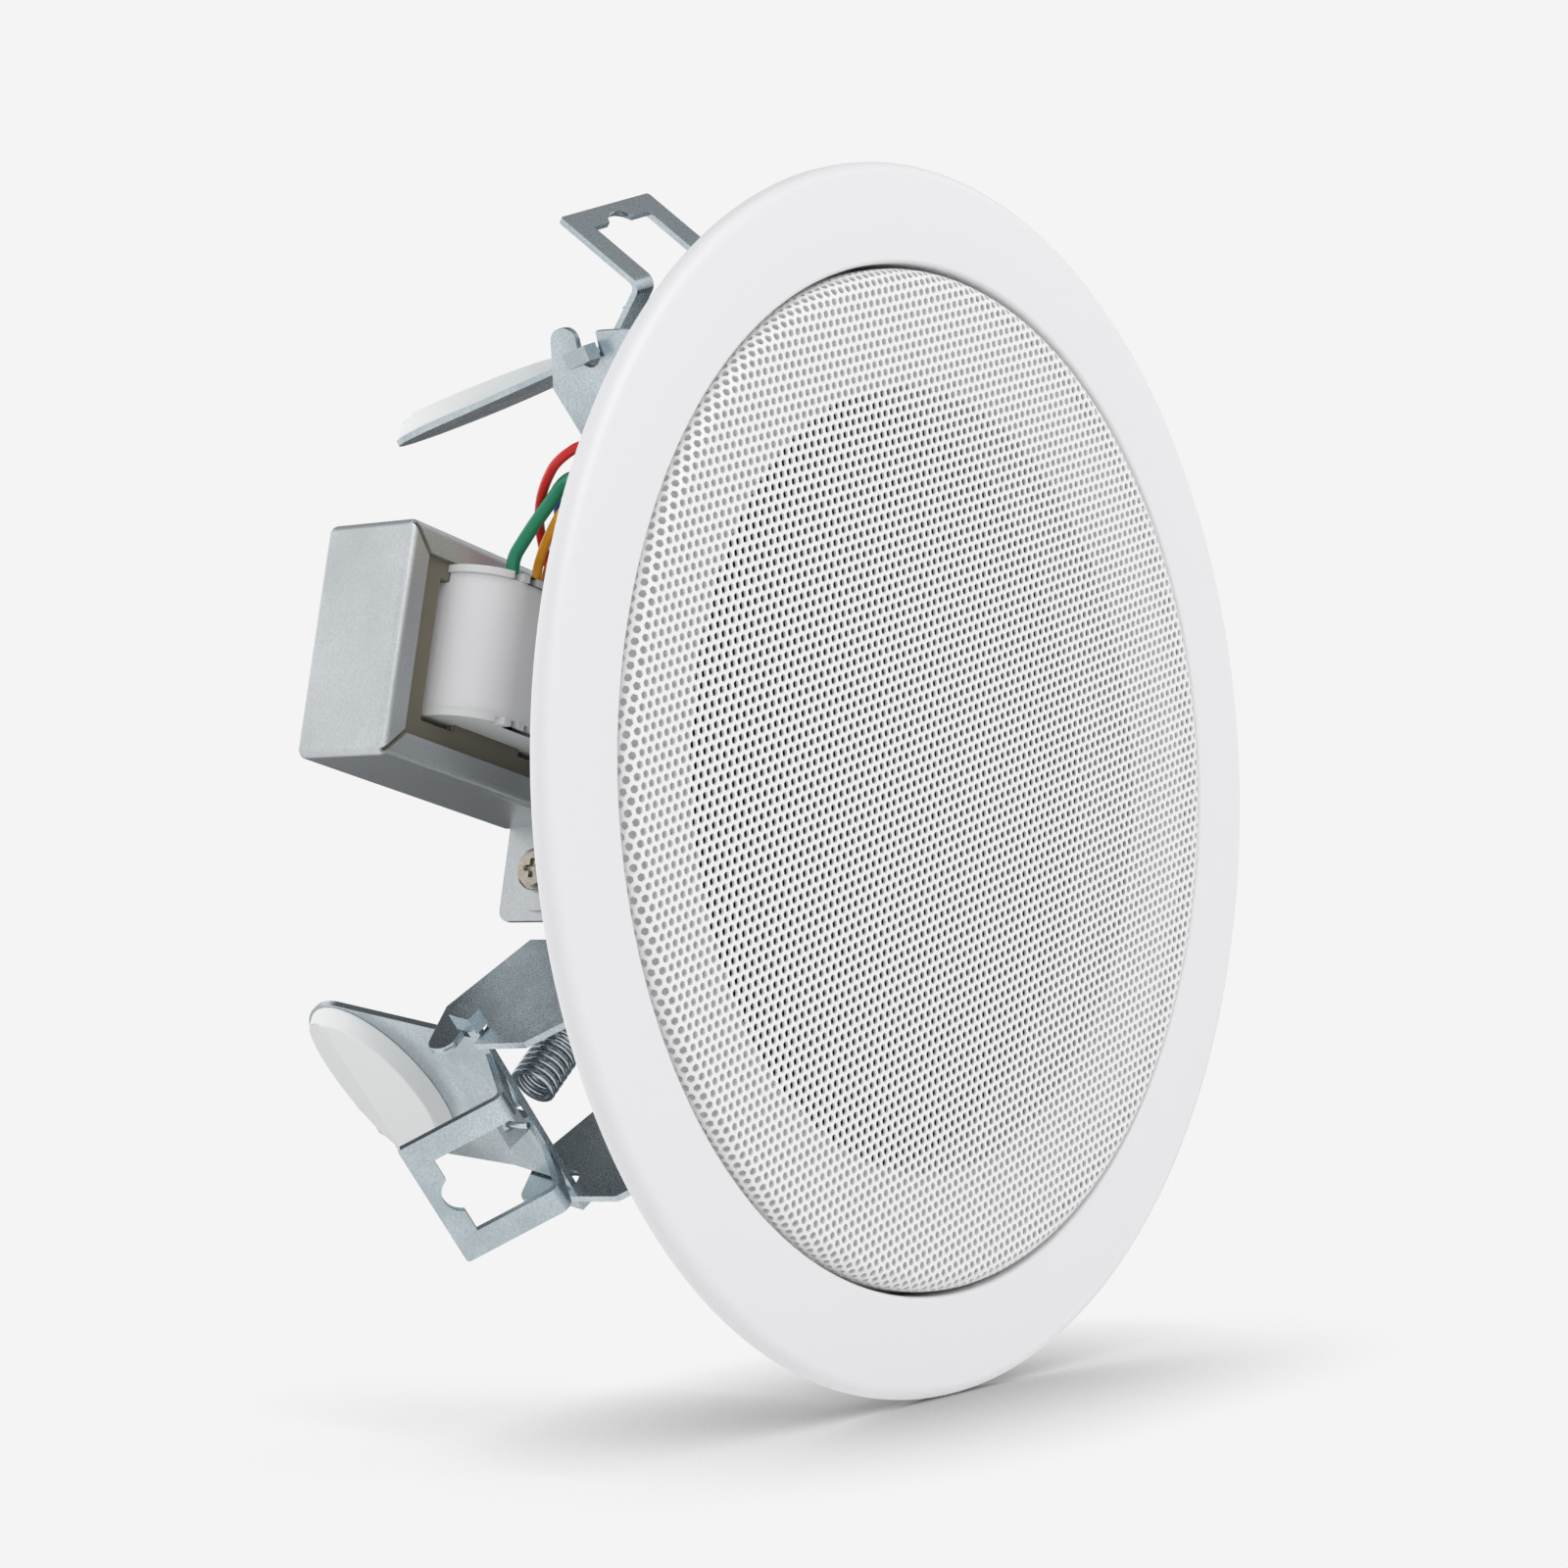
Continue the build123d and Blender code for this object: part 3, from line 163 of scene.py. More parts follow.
# %% Copies of solids, and the clamps' places
NEARLY_FLAT, BREAK_FROM = math.radians(0.4), math.radians(40)
CLAMP_ANGLES = {1: -16.5, 2: 107.0, 3: -140.0}


def stands_for(piece, node):
    """The finished piece moves with its solid's body and is shown in its place."""
    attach(piece, body_of[node])
    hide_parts(node)
    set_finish(piece, slot_of[node])
    return piece


def finished_copy(node, edge=0.0, smooth_degrees=35, facet=None):
    """A copy of a solid with its triangles joined, cut by a facet if it has one, and its edges broken."""
    pick(nodes[node])
    bpy.ops.object.duplicate()
    piece = bpy.context.active_object
    piece.name = node + "_finished"
    bpy.ops.object.parent_clear(type="CLEAR_KEEP_TRANSFORM")
    for key in list(piece.keys()):
        del piece[key]
    bpy.ops.object.mode_set(mode="EDIT")
    bpy.ops.mesh.select_all(action="SELECT")
    bpy.ops.mesh.customdata_custom_splitnormals_clear()
    bpy.ops.mesh.remove_doubles(threshold=MERGE_GAP)
    bpy.ops.mesh.dissolve_limited(angle_limit=NEARLY_FLAT)
    if facet:
        bpy.ops.mesh.select_all(action="SELECT")
        bpy.ops.mesh.bisect(plane_co=facet[0], plane_no=facet[1], use_fill=True, clear_outer=True)
    bpy.ops.object.mode_set(mode="OBJECT")
    if edge:
        apply_modifier(
            piece, "BEVEL", width=edge * MM, segments=2, limit_method="ANGLE",
            angle_limit=BREAK_FROM, miter_outer="MITER_ARC", harden_normals=False,
        )
    smooth(piece, smooth_degrees)
    if edge:
        apply_modifier(piece, "WEIGHTED_NORMAL", keep_sharp=True)
    return stands_for(piece, node)


def clamp_point(angle, radius, depth):
    """A clamp's own radius and depth in millimetres as a place in the frame."""
    turn = math.radians(angle)
    return Vector((radius * math.cos(turn), depth, radius * math.sin(turn))) * MM


print("clamps at", list(CLAMP_ANGLES.values()), "degrees")

# %% [markdown]
# ## Bezel
# The bezel is one white moulding: a flange that seats on the ceiling, a lip round the grille, a collar
# that goes through the cut-out and a baffle that carries the driver. A raised ring on the baffle backs
# the outer part of the grille, which is why the holes there look pale. It is round all over, so its
# outline is spun.

# %% Bezel
FLANGE_R, FLANGE_FRONT, LIP_R, COLLAR_R = 100.0, -3.2, 83.6, 85.6
BAFFLE_FRONT, BAFFLE_BACK, OPENING_R, FRAME_FRONT = 8.0, 10.6, 64.0, 11.4
LEDGE_R, LEDGE_FRONT = 81.9, -0.8
LIP_ROUND, FLANGE_ROUND, SEAT_ROUND, COLLAR_ROUND = 0.8, 2.2, 0.4, 0.6

bezel_outline = [
    (OPENING_R, LEDGE_FRONT),
    (LEDGE_R, LEDGE_FRONT),
    (LEDGE_R, BAFFLE_FRONT),
    (LIP_R, BAFFLE_FRONT),
    *rounded((LIP_R, BAFFLE_FRONT), (LIP_R, FLANGE_FRONT), (FLANGE_R, FLANGE_FRONT), LIP_ROUND),
    *rounded((LIP_R, FLANGE_FRONT), (FLANGE_R, FLANGE_FRONT), (FLANGE_R, 0), FLANGE_ROUND, 10),
    *rounded((FLANGE_R, FLANGE_FRONT), (FLANGE_R, 0), (COLLAR_R, 0), SEAT_ROUND, 3),
    (COLLAR_R, 0),
    *rounded((COLLAR_R, 0), (COLLAR_R, BAFFLE_BACK), (OPENING_R, BAFFLE_BACK), COLLAR_ROUND, 3),
    (OPENING_R, BAFFLE_BACK),
]
bezel = lathe("bezel_moulding", bezel_outline, steps=256)
smooth(bezel)
stands_for(bezel, "bezel")
print("bezel:", len(bezel.data.polygons), "faces")

# %% [markdown]
# ## Grille
# The grille is a shallow cap of perforated steel, and the holes go on round its rolled edge into the
# recess. One hole with the metal round it is modelled as a small hexagon, two array modifiers repeat it
# over a patch, and the cells beyond the sheet's edge are deleted. The flat patch is then drawn round the
# roll as a press would do it: each point keeps its distance along the sheet. No modifier does that, so
# the points are moved in code.

# %% Grille: one flat perforated patch
HOLE_PITCH, HOLE_WIDTH, HOLE_DEPTH = 1.83, 1.15, 0.4
SHEET_R = 85.3
ROWS = 111
ROW_TURN = math.radians(73.5)

pick()
bpy.ops.mesh.primitive_circle_add(vertices=6, radius=HOLE_PITCH / math.sqrt(3) * MM, fill_type="NGON")
grille = bpy.context.active_object
grille.name = "grille_perforated"
bpy.ops.object.mode_set(mode="EDIT")
bpy.ops.mesh.select_all(action="SELECT")
bpy.ops.mesh.inset(thickness=(HOLE_PITCH - HOLE_WIDTH) / 2 * MM)
bpy.ops.mesh.extrude_region_move(TRANSFORM_OT_translate={"value": (0, 0, -HOLE_DEPTH * MM)})
bpy.ops.mesh.delete(type="FACE")
bpy.ops.object.mode_set(mode="OBJECT")
faces_per_cell = len(grille.data.polygons)
along_row = Vector((HOLE_PITCH, 0))
next_row = Vector((HOLE_PITCH / 2, HOLE_PITCH * math.sqrt(3) / 2))
for step in (along_row, next_row):
    apply_modifier(
        grille, "ARRAY", count=ROWS, use_relative_offset=False, use_constant_offset=True,
        constant_offset_displace=(step.x * MM, step.y * MM, 0),
    )
half = ROWS // 2
outside = []
for index in range(len(grille.data.polygons)):
    cell = index // faces_per_cell
    place = along_row * (cell % ROWS - half) + next_row * (cell // ROWS - half)
    outside.append(place.length > SHEET_R)
pick(grille)
grille.data.polygons.foreach_set("select", outside)
bpy.ops.object.mode_set(mode="EDIT")
bpy.ops.mesh.select_mode(type="FACE")
bpy.ops.mesh.delete(type="FACE")
bpy.ops.mesh.select_mode(type="VERT")
bpy.ops.mesh.select_all(action="SELECT")
bpy.ops.mesh.remove_doubles(threshold=MERGE_GAP)
bpy.ops.object.mode_set(mode="OBJECT")
corner = -half * (along_row + next_row) * MM
grille.matrix_world = Matrix.Rotation(ROW_TURN, 4, "Z") @ Matrix.Translation(corner.to_3d())
pick(grille)
bpy.ops.object.transform_apply(location=True, rotation=True, scale=True)
print("grille patch:", outside.count(False) // faces_per_cell, "holes")

# %% Grille: drawn round its edge, with a plain skirt
GRILLE_FRONT, GRILLE_R, ROLL_R = -4.5, 82.9, 3.0
FLAT_R = GRILLE_R - ROLL_R

for vertex in grille.data.vertices:
    flat, depth = vertex.co.to_2d() / MM, -vertex.co.z / MM
    bend = min(max(flat.length - FLAT_R, 0) / ROLL_R, math.pi / 2)
    below = max(flat.length - FLAT_R - ROLL_R * math.pi / 2, 0)
    radius = min(flat.length, FLAT_R) + (ROLL_R - depth) * math.sin(bend)
    drop = ROLL_R - (ROLL_R - depth) * math.cos(bend) + below
    spot = flat.normalized() * radius if flat.length else flat
    vertex.co = Vector((spot.x, GRILLE_FRONT + drop, spot.y)) * MM
pick(grille)
bpy.ops.object.mode_set(mode="EDIT")
bpy.ops.mesh.select_all(action="SELECT")
bpy.ops.mesh.flip_normals()
bpy.ops.object.mode_set(mode="OBJECT")

SKIRT_SHEET, SKIRT_INSET, SKIRT_DROP = 0.8, 0.02, 0.3
skirt_top = GRILLE_FRONT + ROLL_R + SKIRT_DROP
skirt = lathe("grille_skirt", [
    (GRILLE_R - SKIRT_INSET, skirt_top), (GRILLE_R - SKIRT_INSET, BAFFLE_FRONT),
    (GRILLE_R - SKIRT_SHEET, BAFFLE_FRONT), (GRILLE_R - SKIRT_SHEET, skirt_top),
])
pick(skirt, grille)
bpy.ops.object.join()
smooth(grille)
stands_for(grille, "grille")
print("grille:", sum(len(f.vertices) - 2 for f in grille.data.polygons), "triangles")

# %% [markdown]
# ## Sheet metal, fasteners and mouldings
# The clamps, the transformer's channel and its upright plate are folded or pressed from sheet, and the
# pads, bobbin and terminal block are moulded. Their solids have the right shape but knife-sharp edges. A
# copy of each is merged, its flat faces are joined, and a small bevel breaks the edges so that they
# catch light. The widths of the broken edges are in millimetres; pieces with none keep their own edges.

# %% Copies with broken edges
EDGES = {
    "transformer_frame": 0.18, "transformer_plate": 0.15, "bobbin": 0.2, "winding": 0.5,
    "terminal_block": 0.4, "clamp_screws": 0.2, "plate_screws": 0.2, "transformer_screws": 0.2,
    "transformer_nuts": 0.2, "tag_strip": 0.1, "solder_tags": 0.08, "terminal_screws": 0.08,
    "transformer_core": 0.12, "yoke": 0.4, "top_plate": 0.3, "magnet": 0.0, "basket": 0.25, "gasket": 0.0,
    "lead_red": 0.0, "lead_green": 0.0, "lead_blue": 0.0, "lead_yellow_1": 0.0, "lead_yellow_2": 0.0,
}
for number in CLAMP_ANGLES:
    EDGES[f"clamp_bracket_{number}"] = 0.15
    EDGES[f"clamp_arm_{number}"] = 0.12
for node, edge in EDGES.items():
    finished_copy(node, edge)
print("finished copies:", len(EDGES))

# %% [markdown]
# ## Clamp pads
# Each pad is a tapered white disc on the clamp's paddle, and its outer part slopes down to the paddle's tip
# from a crease. A bisect through the crease cuts that slope on a copy of the solid, and the low smoothing
# angle keeps the crease sharp.

# %% Clamp pads
PAD_EDGE, PAD_SMOOTH = 0.35, 7
HINGE, PADDLE_LEAN = Vector((78.0, 37.1)), math.radians(13.35)
PAD_TOP, CREASE, SLOPE = 3.4, 40.0, math.radians(11)

along = Vector((-math.sin(PADDLE_LEAN), math.cos(PADDLE_LEAN)))
out = Vector((math.cos(PADDLE_LEAN), math.sin(PADDLE_LEAN)))
crease = HINGE + along * CREASE + out * PAD_TOP
facing = out * math.cos(SLOPE) + along * math.sin(SLOPE)
for number, angle in CLAMP_ANGLES.items():
    facet = clamp_point(angle, *crease), clamp_point(angle, *facing).normalized()
    finished_copy(f"clamp_pad_{number}", PAD_EDGE, smooth_degrees=PAD_SMOOTH, facet=facet)
print("pads:", len(CLAMP_ANGLES))

# %% [markdown]
# ## Clamp springs
# Each clamp has an extension spring, which snaps it over between cocked and clamped. The coil is a small
# circle of wire that the Screw modifier carries round and along, and each hook is a short curve with a
# round section. The coil and both hooks are joined into one piece, which is attached to neither body.

# %% Clamp springs
WIRE, COIL_R, COIL_START, COIL_LENGTH, COIL_TURNS, COIL_Y = 1.05, 3.3, 62.0, 12.0, 8, 38.2


def hook_wire(points):
    """A short tube of spring wire through five points."""
    pick()
    bpy.ops.curve.primitive_nurbs_path_add()
    wire = bpy.context.active_object
    for point, place in zip(wire.data.splines[0].points, points):
        point.co = (*place, 1)
    wire.data.splines[0].order_u = 3
    wire.data.splines[0].use_endpoint_u = True
    wire.data.resolution_u = 8
    wire.data.bevel_depth = WIRE / 2 * MM
    wire.data.bevel_resolution = 3
    wire.data.use_fill_caps = True
    pick(wire)
    bpy.ops.object.convert(target="MESH")
    return bpy.context.active_object


def clamp_spring(number, angle):
    """A wound coil with a hook at each end, between a clamp's bracket and its arm."""
    pick()
    bpy.ops.mesh.primitive_circle_add(
        vertices=10, radius=WIRE / 2 * MM, location=(COIL_R * MM, 0, 0), rotation=(math.pi / 2, 0, 0)
    )
    coil = bpy.context.active_object
    bpy.ops.object.transform_apply(location=True, rotation=True, scale=True)
    pitch = (COIL_LENGTH - WIRE) / COIL_TURNS
    apply_modifier(
        coil, "SCREW", axis="Z", angle=math.tau, screw_offset=pitch * MM, iterations=COIL_TURNS,
        steps=24, render_steps=24, use_normal_calculate=True,
    )
    turn = math.radians(angle)
    outward = Vector((math.cos(turn), 0, math.sin(turn)))
    side = Vector((-math.sin(turn), 0, math.cos(turn)))
    place = Matrix((Vector((0, 1, 0)), side, outward)).transposed().to_4x4()
    place.translation = clamp_point(angle, COIL_START + WIRE / 2, COIL_Y)
    coil.matrix_world = place
    pick(coil)
    bpy.ops.object.transform_apply(location=True, rotation=True, scale=True)
    rim = COIL_Y + COIL_R
    coil_end = COIL_START + COIL_LENGTH
    inner = [(COIL_START + 0.6, rim), (60.4, 40.2), (59.6, 38.4), (56.4, 38.6), (56.0, 36.0)]
    outer = [(coil_end - 0.6, rim), (75.6, 40.0), (78.0, 39.7), (82.0, 39.9), (81.7, 33.5)]
    hooks = [hook_wire([clamp_point(angle, r, y) for r, y in path]) for path in (inner, outer)]
    pick(*hooks, coil)
    bpy.ops.object.join()
    coil.name = f"clamp_spring_{number}_wound"
    bpy.ops.object.mode_set(mode="EDIT")
    bpy.ops.mesh.select_all(action="SELECT")
    bpy.ops.mesh.normals_make_consistent(inside=False)
    bpy.ops.object.mode_set(mode="OBJECT")
    smooth(coil, 60)
    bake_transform(coil)
    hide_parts(f"clamp_spring_{number}")
    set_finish(coil, "spring_wire")
    return coil


springs = [clamp_spring(number, angle) for number, angle in CLAMP_ANGLES.items()]
print("springs:", [len(spring.data.polygons) for spring in springs], "faces")

# %% [markdown]
# ## Surround and spider
# Two soft rings hold the cone: the foam surround at its rim and the cloth spider at its neck. Each is spun in
# twelve sectors, which are separate pieces attached to neither the frame nor the cone.

# %% Surround and spider
SECTORS = 12
SECTOR_TURN = math.tau / SECTORS


def soft_ring(node, outline):
    """A ring spun in separate sectors, which follow neither the frame nor the cone."""
    first = lathe(f"{node}_sector_1", outline, steps=8, turn=SECTOR_TURN)
    smooth(first)
    ring = [first]
    for number in range(1, SECTORS):
        pick(first)
        bpy.ops.object.duplicate()
        sector = bpy.context.active_object
        sector.name = f"{node}_sector_{number + 1}"
        sector.matrix_world = Matrix.Rotation(number * SECTOR_TURN, 4, "Y")
        pick(sector)
        bpy.ops.object.transform_apply(location=True, rotation=True, scale=True)
        ring.append(sector)
    for number, sector in enumerate(ring):
        # Spin turns against the rotation matrix, so a sector's middle lies half a sector before its start.
        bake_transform(sector)
        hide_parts(node)
        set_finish(sector, slot_of[node])
    print(node, "in", len(ring), "sectors of", len(first.data.polygons), "faces")


# %% Surround
def half_roll(radius, level, steps=12):
    """Points over the surround's roll, between the places where it meets a flat land."""
    lift = math.asin((ROLL_Y - level) / radius)
    turns = [lift + (math.pi - 2 * lift) * step / steps for step in range(steps + 1)]
    return [(ROLL_MID + radius * math.cos(turn), ROLL_Y - radius * math.sin(turn)) for turn in turns]


SURROUND_SHEET, SURROUND_R, CONE_GLUE_R = 0.6, 63.5, 44.3
LAND_FRONT, LAND_BACK = FRAME_FRONT - SURROUND_SHEET, FRAME_FRONT
ROLL_MID, ROLL_Y, ROLL_OUT, ROLL_IN = 52.0, FRAME_FRONT + 0.228, 5.328, 4.728

soft_ring("surround", [
    (SURROUND_R, LAND_FRONT), *half_roll(ROLL_OUT, LAND_FRONT), (CONE_GLUE_R, LAND_FRONT),
    (CONE_GLUE_R, LAND_BACK), *reversed(half_roll(ROLL_IN, LAND_BACK)), (SURROUND_R, LAND_BACK),
])

# %% Spider
SPIDER_BACK, SPIDER_SHEET, SPIDER_R, SPIDER_LAND_R = 30.0, 0.6, 29.0, 25.0
WAVE, WAVE_HIGH, WAVE_POINTS = 1.5, 0.9, 9

waves = [(SPIDER_LAND_R - WAVE * step, SPIDER_BACK - WAVE_HIGH * (step % 2)) for step in range(WAVE_POINTS)]
back_line = [(SPIDER_R, SPIDER_BACK), *waves]
front_line = [(r, y - SPIDER_SHEET) for r, y in back_line]
soft_ring("spider", [*front_line, *reversed(back_line)])

# %% [markdown]
# ## Finishes
# Each finish starts from what the real material is and how its surface was made. Colours are written as
# sRGB hex values and turned to linear light by one function, and pattern sizes are worked out from real
# millimetres. Patterns that would be too fine to show are drawn coarser, and the comment beside them
# says so.


# %% Colour and node helpers
def colour(code):
    """Linear RGBA of an sRGB hex code."""
    channels = [int(code[i:i + 2], 16) / 255 for i in (1, 3, 5)]
    return (*[c / 12.92 if c <= 0.04045 else ((c + 0.055) / 1.055) ** 2.4 for c in channels], 1.0)


def add_node(tree, kind, inputs=None, **settings):
    """Add a node, set its options, and give each input a value or a link."""
    node = tree.nodes.new(kind)
    for name, value in settings.items():
        setattr(node, name, value)
    for socket, value in (inputs or {}).items():
        if isinstance(value, bpy.types.NodeSocket):
            tree.links.new(value, node.inputs[socket])
        else:
            node.inputs[socket].default_value = value
    return node


def begin(name):
    """A new material and its empty tree."""
    material = bpy.data.materials.new(name)
    material.use_nodes = True
    tree = material.node_tree
    tree.nodes.clear()
    return material, tree


def on_piece(tree):
    """Where a point lies on its piece, in metres, for patterns."""
    return add_node(tree, "ShaderNodeTexCoord").outputs["Object"]


def per_mm(size):
    """Texture scale for a pattern that repeats about every so many millimetres."""
    return 1 / (size * MM)


finishes = {}
print("white in linear light:", colour("#FFFFFF"))

# %% Plain mouldings, papers, rubbers and sleeves
# Each row: finish, name, colour, roughness, IOR, grain in mm, relief in mm.
# Moulded plastics have a soft satin sheen, powder coat is duller with a faint orange peel, foam, pulp
# and paper swallow light, and extruded sleeves are smooth and glossy. Grains under 0.5 mm are drawn at
# 0.5 mm.
PLAIN = [
    ("white_moulding", "ABS, injection moulded, satin", "#E7E7E9", 0.36, 1.53, 0.6, 0.006),
    ("white_grille", "steel, white powder coat", "#EDEDED", 0.45, 1.5, 0.5, 0.006),
    ("black_foam", "closed-cell foam", "#17171A", 0.95, 1.4, 0.8, 0.05),
    ("black_steel", "steel, black powder coat", "#1B1B1D", 0.5, 1.5, 0.6, 0.01),
    ("grey_paper", "pulp paper, pressed", "#202023", 0.9, 1.45, 0.7, 0.03),
    ("brown_film", "polyimide film", "#8A4A18", 0.3, 1.6, 1.0, 0.002),
    ("ferrite", "ferrite, sintered and ground", "#2B2B2D", 0.62, 2.2, 0.5, 0.01),
    ("nylon", "nylon, moulded", "#E4E6E6", 0.42, 1.53, 0.9, 0.008),
    ("white_paper", "insulating paper tape", "#F0F0F3", 0.8, 1.45, 0.5, 0.01),
    ("white_terminal", "polyamide, moulded", "#E5E2D6", 0.45, 1.53, 0.7, 0.006),
    ("brown_board", "phenolic board, punched", "#5A3218", 0.5, 1.6, 0.6, 0.01),
    ("red_sleeve", "red PVC sleeve, extruded", "#CC0F0D", 0.33, 1.53, 0.8, 0.004),
    ("green_sleeve", "green PVC sleeve, extruded", "#00845F", 0.36, 1.53, 0.8, 0.004),
    ("blue_sleeve", "blue PVC sleeve, extruded", "#2A6FD0", 0.33, 1.53, 0.8, 0.004),
    ("yellow_sleeve", "amber PVC sleeve, extruded", "#E79C0C", 0.33, 1.53, 0.8, 0.004),
]
for slot, name, code, roughness, ior, grain, relief in PLAIN:
    material, tree = begin(name)
    noise = add_node(tree, "ShaderNodeTexNoise", {
        "Vector": on_piece(tree), "Scale": per_mm(grain), "Detail": 3.0,
    })
    bump = add_node(tree, "ShaderNodeBump", {
        "Height": noise.outputs[0], "Strength": 1.0, "Distance": relief * MM,
    })
    surface = add_node(tree, "ShaderNodeBsdfPrincipled", {
        "Base Color": colour(code), "Roughness": roughness, "IOR": ior, "Normal": bump.outputs[0],
    })
    add_node(tree, "ShaderNodeOutputMaterial", {"Surface": surface.outputs[0]})
    finishes[slot] = material
print("plain finishes:", len(finishes))

# %% Plated and bare metals
# Each row: finish, name, dark and light colour, how bare the metal is, roughness, blotch in mm, relief in mm.
# The plating's crystals are far finer than a pixel and are drawn at 0.4 mm; they give the grey its soft
# grain, and wide faint clouds keep it from looking painted. Dip galvanising weathers to a partly matt
# skin.
CRYSTAL, DARK_AT, LIGHT_AT = 0.4, 0.12, 0.4
DULL_AT, SHINY_AT, DULLER, SHINIER = 0.1, 0.4, 0.06, 0.04
METALS = [
    ("zinc_plate", "steel, bright zinc plate", "#B4C0C6", "#D2DCE0", 1.0, 0.26, 9.0, 0.02),
    ("galvanised", "steel, hot-dip galvanised", "#C0C5C8", "#D4D8DA", 0.65, 0.36, 14.0, 0.012),
    ("nickel", "steel, nickel plate", "#A8A294", "#C8C2B6", 1.0, 0.22, 6.0, 0.004),
    ("spring_wire", "music wire, zinc plated", "#BCC4C9", "#D9DFE3", 1.0, 0.18, 4.0, 0.006),
    ("copper_wire", "enamelled copper wire", "#9A4F2A", "#C07040", 1.0, 0.3, 4.0, 0.006),
    ("brass_tag", "brass, tinned", "#B9B6AC", "#D2CFC4", 1.0, 0.3, 4.0, 0.006),
]
for slot, name, dark, light, bare, roughness, blotch, relief in METALS:
    material, tree = begin(name)
    place = on_piece(tree)
    cloud = add_node(tree, "ShaderNodeTexNoise", {"Vector": place, "Scale": per_mm(blotch), "Detail": 3.0})
    grain = add_node(tree, "ShaderNodeTexNoise", {"Vector": place, "Scale": per_mm(CRYSTAL), "Detail": 2.0})
    mixed = add_node(tree, "ShaderNodeMath", {0: cloud.outputs[0], 1: grain.outputs[0]}, operation="MULTIPLY")
    shade = add_node(tree, "ShaderNodeValToRGB", {"Fac": mixed.outputs[0]})
    shade.color_ramp.elements[0].color = colour(dark)
    shade.color_ramp.elements[0].position = DARK_AT
    shade.color_ramp.elements[1].color = colour(light)
    shade.color_ramp.elements[1].position = LIGHT_AT
    gloss = add_node(tree, "ShaderNodeMapRange", {
        "Value": mixed.outputs[0], "From Min": DULL_AT, "From Max": SHINY_AT,
        "To Min": roughness + DULLER, "To Max": roughness - SHINIER,
    })
    bump = add_node(tree, "ShaderNodeBump", {
        "Height": grain.outputs[0], "Strength": 1.0, "Distance": relief * MM,
    })
    surface = add_node(tree, "ShaderNodeBsdfPrincipled", {
        "Base Color": shade.outputs[0], "Metallic": bare,
        "Roughness": gloss.outputs[0], "Normal": bump.outputs[0],
    })
    add_node(tree, "ShaderNodeOutputMaterial", {"Surface": surface.outputs[0]})
    finishes[slot] = material
print("with metals:", len(finishes))

# %% Transformer core
# A wave texture turns 20 radians per unit of its scale. The core is a stack of half-millimetre
# laminations across the depth, so fine dark lines run round its edges. They are drawn 1 mm apart.
WAVE_SCALE = math.tau / 20
LAMINATIONS = 1.0

material, tree = begin("silicon steel laminations, varnished")
lines = add_node(tree, "ShaderNodeTexWave", {
    "Vector": on_piece(tree), "Scale": per_mm(LAMINATIONS) * WAVE_SCALE, "Distortion": 0.3,
}, wave_type="BANDS", bands_direction="Y")
# The laminations' olive grey is partly their own tone and partly painted light: it is drawn lighter to make
# up for the shade the core sits in.
shade = add_node(tree, "ShaderNodeValToRGB", {"Fac": lines.outputs[0]})
shade.color_ramp.elements[0].color = colour("#7D7768")
shade.color_ramp.elements[1].color = colour("#A59F90")
surface = add_node(tree, "ShaderNodeBsdfPrincipled", {
    "Base Color": shade.outputs[0], "Metallic": 0.25, "Roughness": 0.5,
})
add_node(tree, "ShaderNodeOutputMaterial", {"Surface": surface.outputs[0]})
finishes["core_steel"] = material
print("core:", material.name)

# %% Spider cloth
# The spider is a resin-stiffened cotton cloth: dull, with a weave in relief. Its threads are about 0.4
# mm apart and drawn at 0.8 mm.
THREADS, THREAD_RELIEF = 0.8, 0.05

material, tree = begin("cotton cloth, resin stiffened")
weave = {"Vector": on_piece(tree), "Scale": per_mm(THREADS) * WAVE_SCALE}
across = add_node(tree, "ShaderNodeTexWave", weave, bands_direction="X")
upward = add_node(tree, "ShaderNodeTexWave", weave, bands_direction="Z")
threads = add_node(tree, "ShaderNodeMath", {0: across.outputs[1], 1: upward.outputs[1]}, operation="ADD")
bump = add_node(tree, "ShaderNodeBump", {"Height": threads.outputs[0], "Distance": THREAD_RELIEF * MM})
surface = add_node(tree, "ShaderNodeBsdfPrincipled", {
    "Base Color": colour("#C9A35A"), "Roughness": 0.9, "Normal": bump.outputs[0],
})
add_node(tree, "ShaderNodeOutputMaterial", {"Surface": surface.outputs[0]})
finishes["yellow_cloth"] = material
print("all finishes:", sorted(finishes))

# %% [markdown]
# ## Dressing
# Every piece modelled here carries the name of its finish, and a solid that has no finer piece takes the one
# that its record names. So one loop can dress them all.

# %% Give every piece and every solid its finish
for piece in [o for o in bpy.data.objects if o.type == "MESH"]:
    slot = piece.get("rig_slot") or slot_of.get(piece.get("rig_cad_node"))
    piece.data.materials.clear()
    piece.data.materials.append(finishes[slot])

# %% [markdown]
# ## Studio
# A pale floor meets a pale background, with one large soft lamp above the front and a weaker one behind.
# The world lights the object evenly; to the camera and in reflections it is the photograph's plain pale grey.

# %% Floor
FLOOR_Z, FLOOR_SIZE, SHADOW_REACH = -100.0, 6.0, 0.05
BACKGROUND = "#F4F4F4"


def looked_at(tree):
    """Two sockets: the camera's own rays, and those with reflections and rays through clear pieces."""
    ray = add_node(tree, "ShaderNodeLightPath")
    camera_ray = ray.outputs["Is Camera Ray"]
    seen = camera_ray
    for kind in ("Is Glossy Ray", "Is Transmission Ray"):
        either = add_node(tree, "ShaderNodeMath", {0: seen, 1: ray.outputs[kind]}, operation="MAXIMUM")
        seen = either.outputs[0]
    return camera_ray, seen


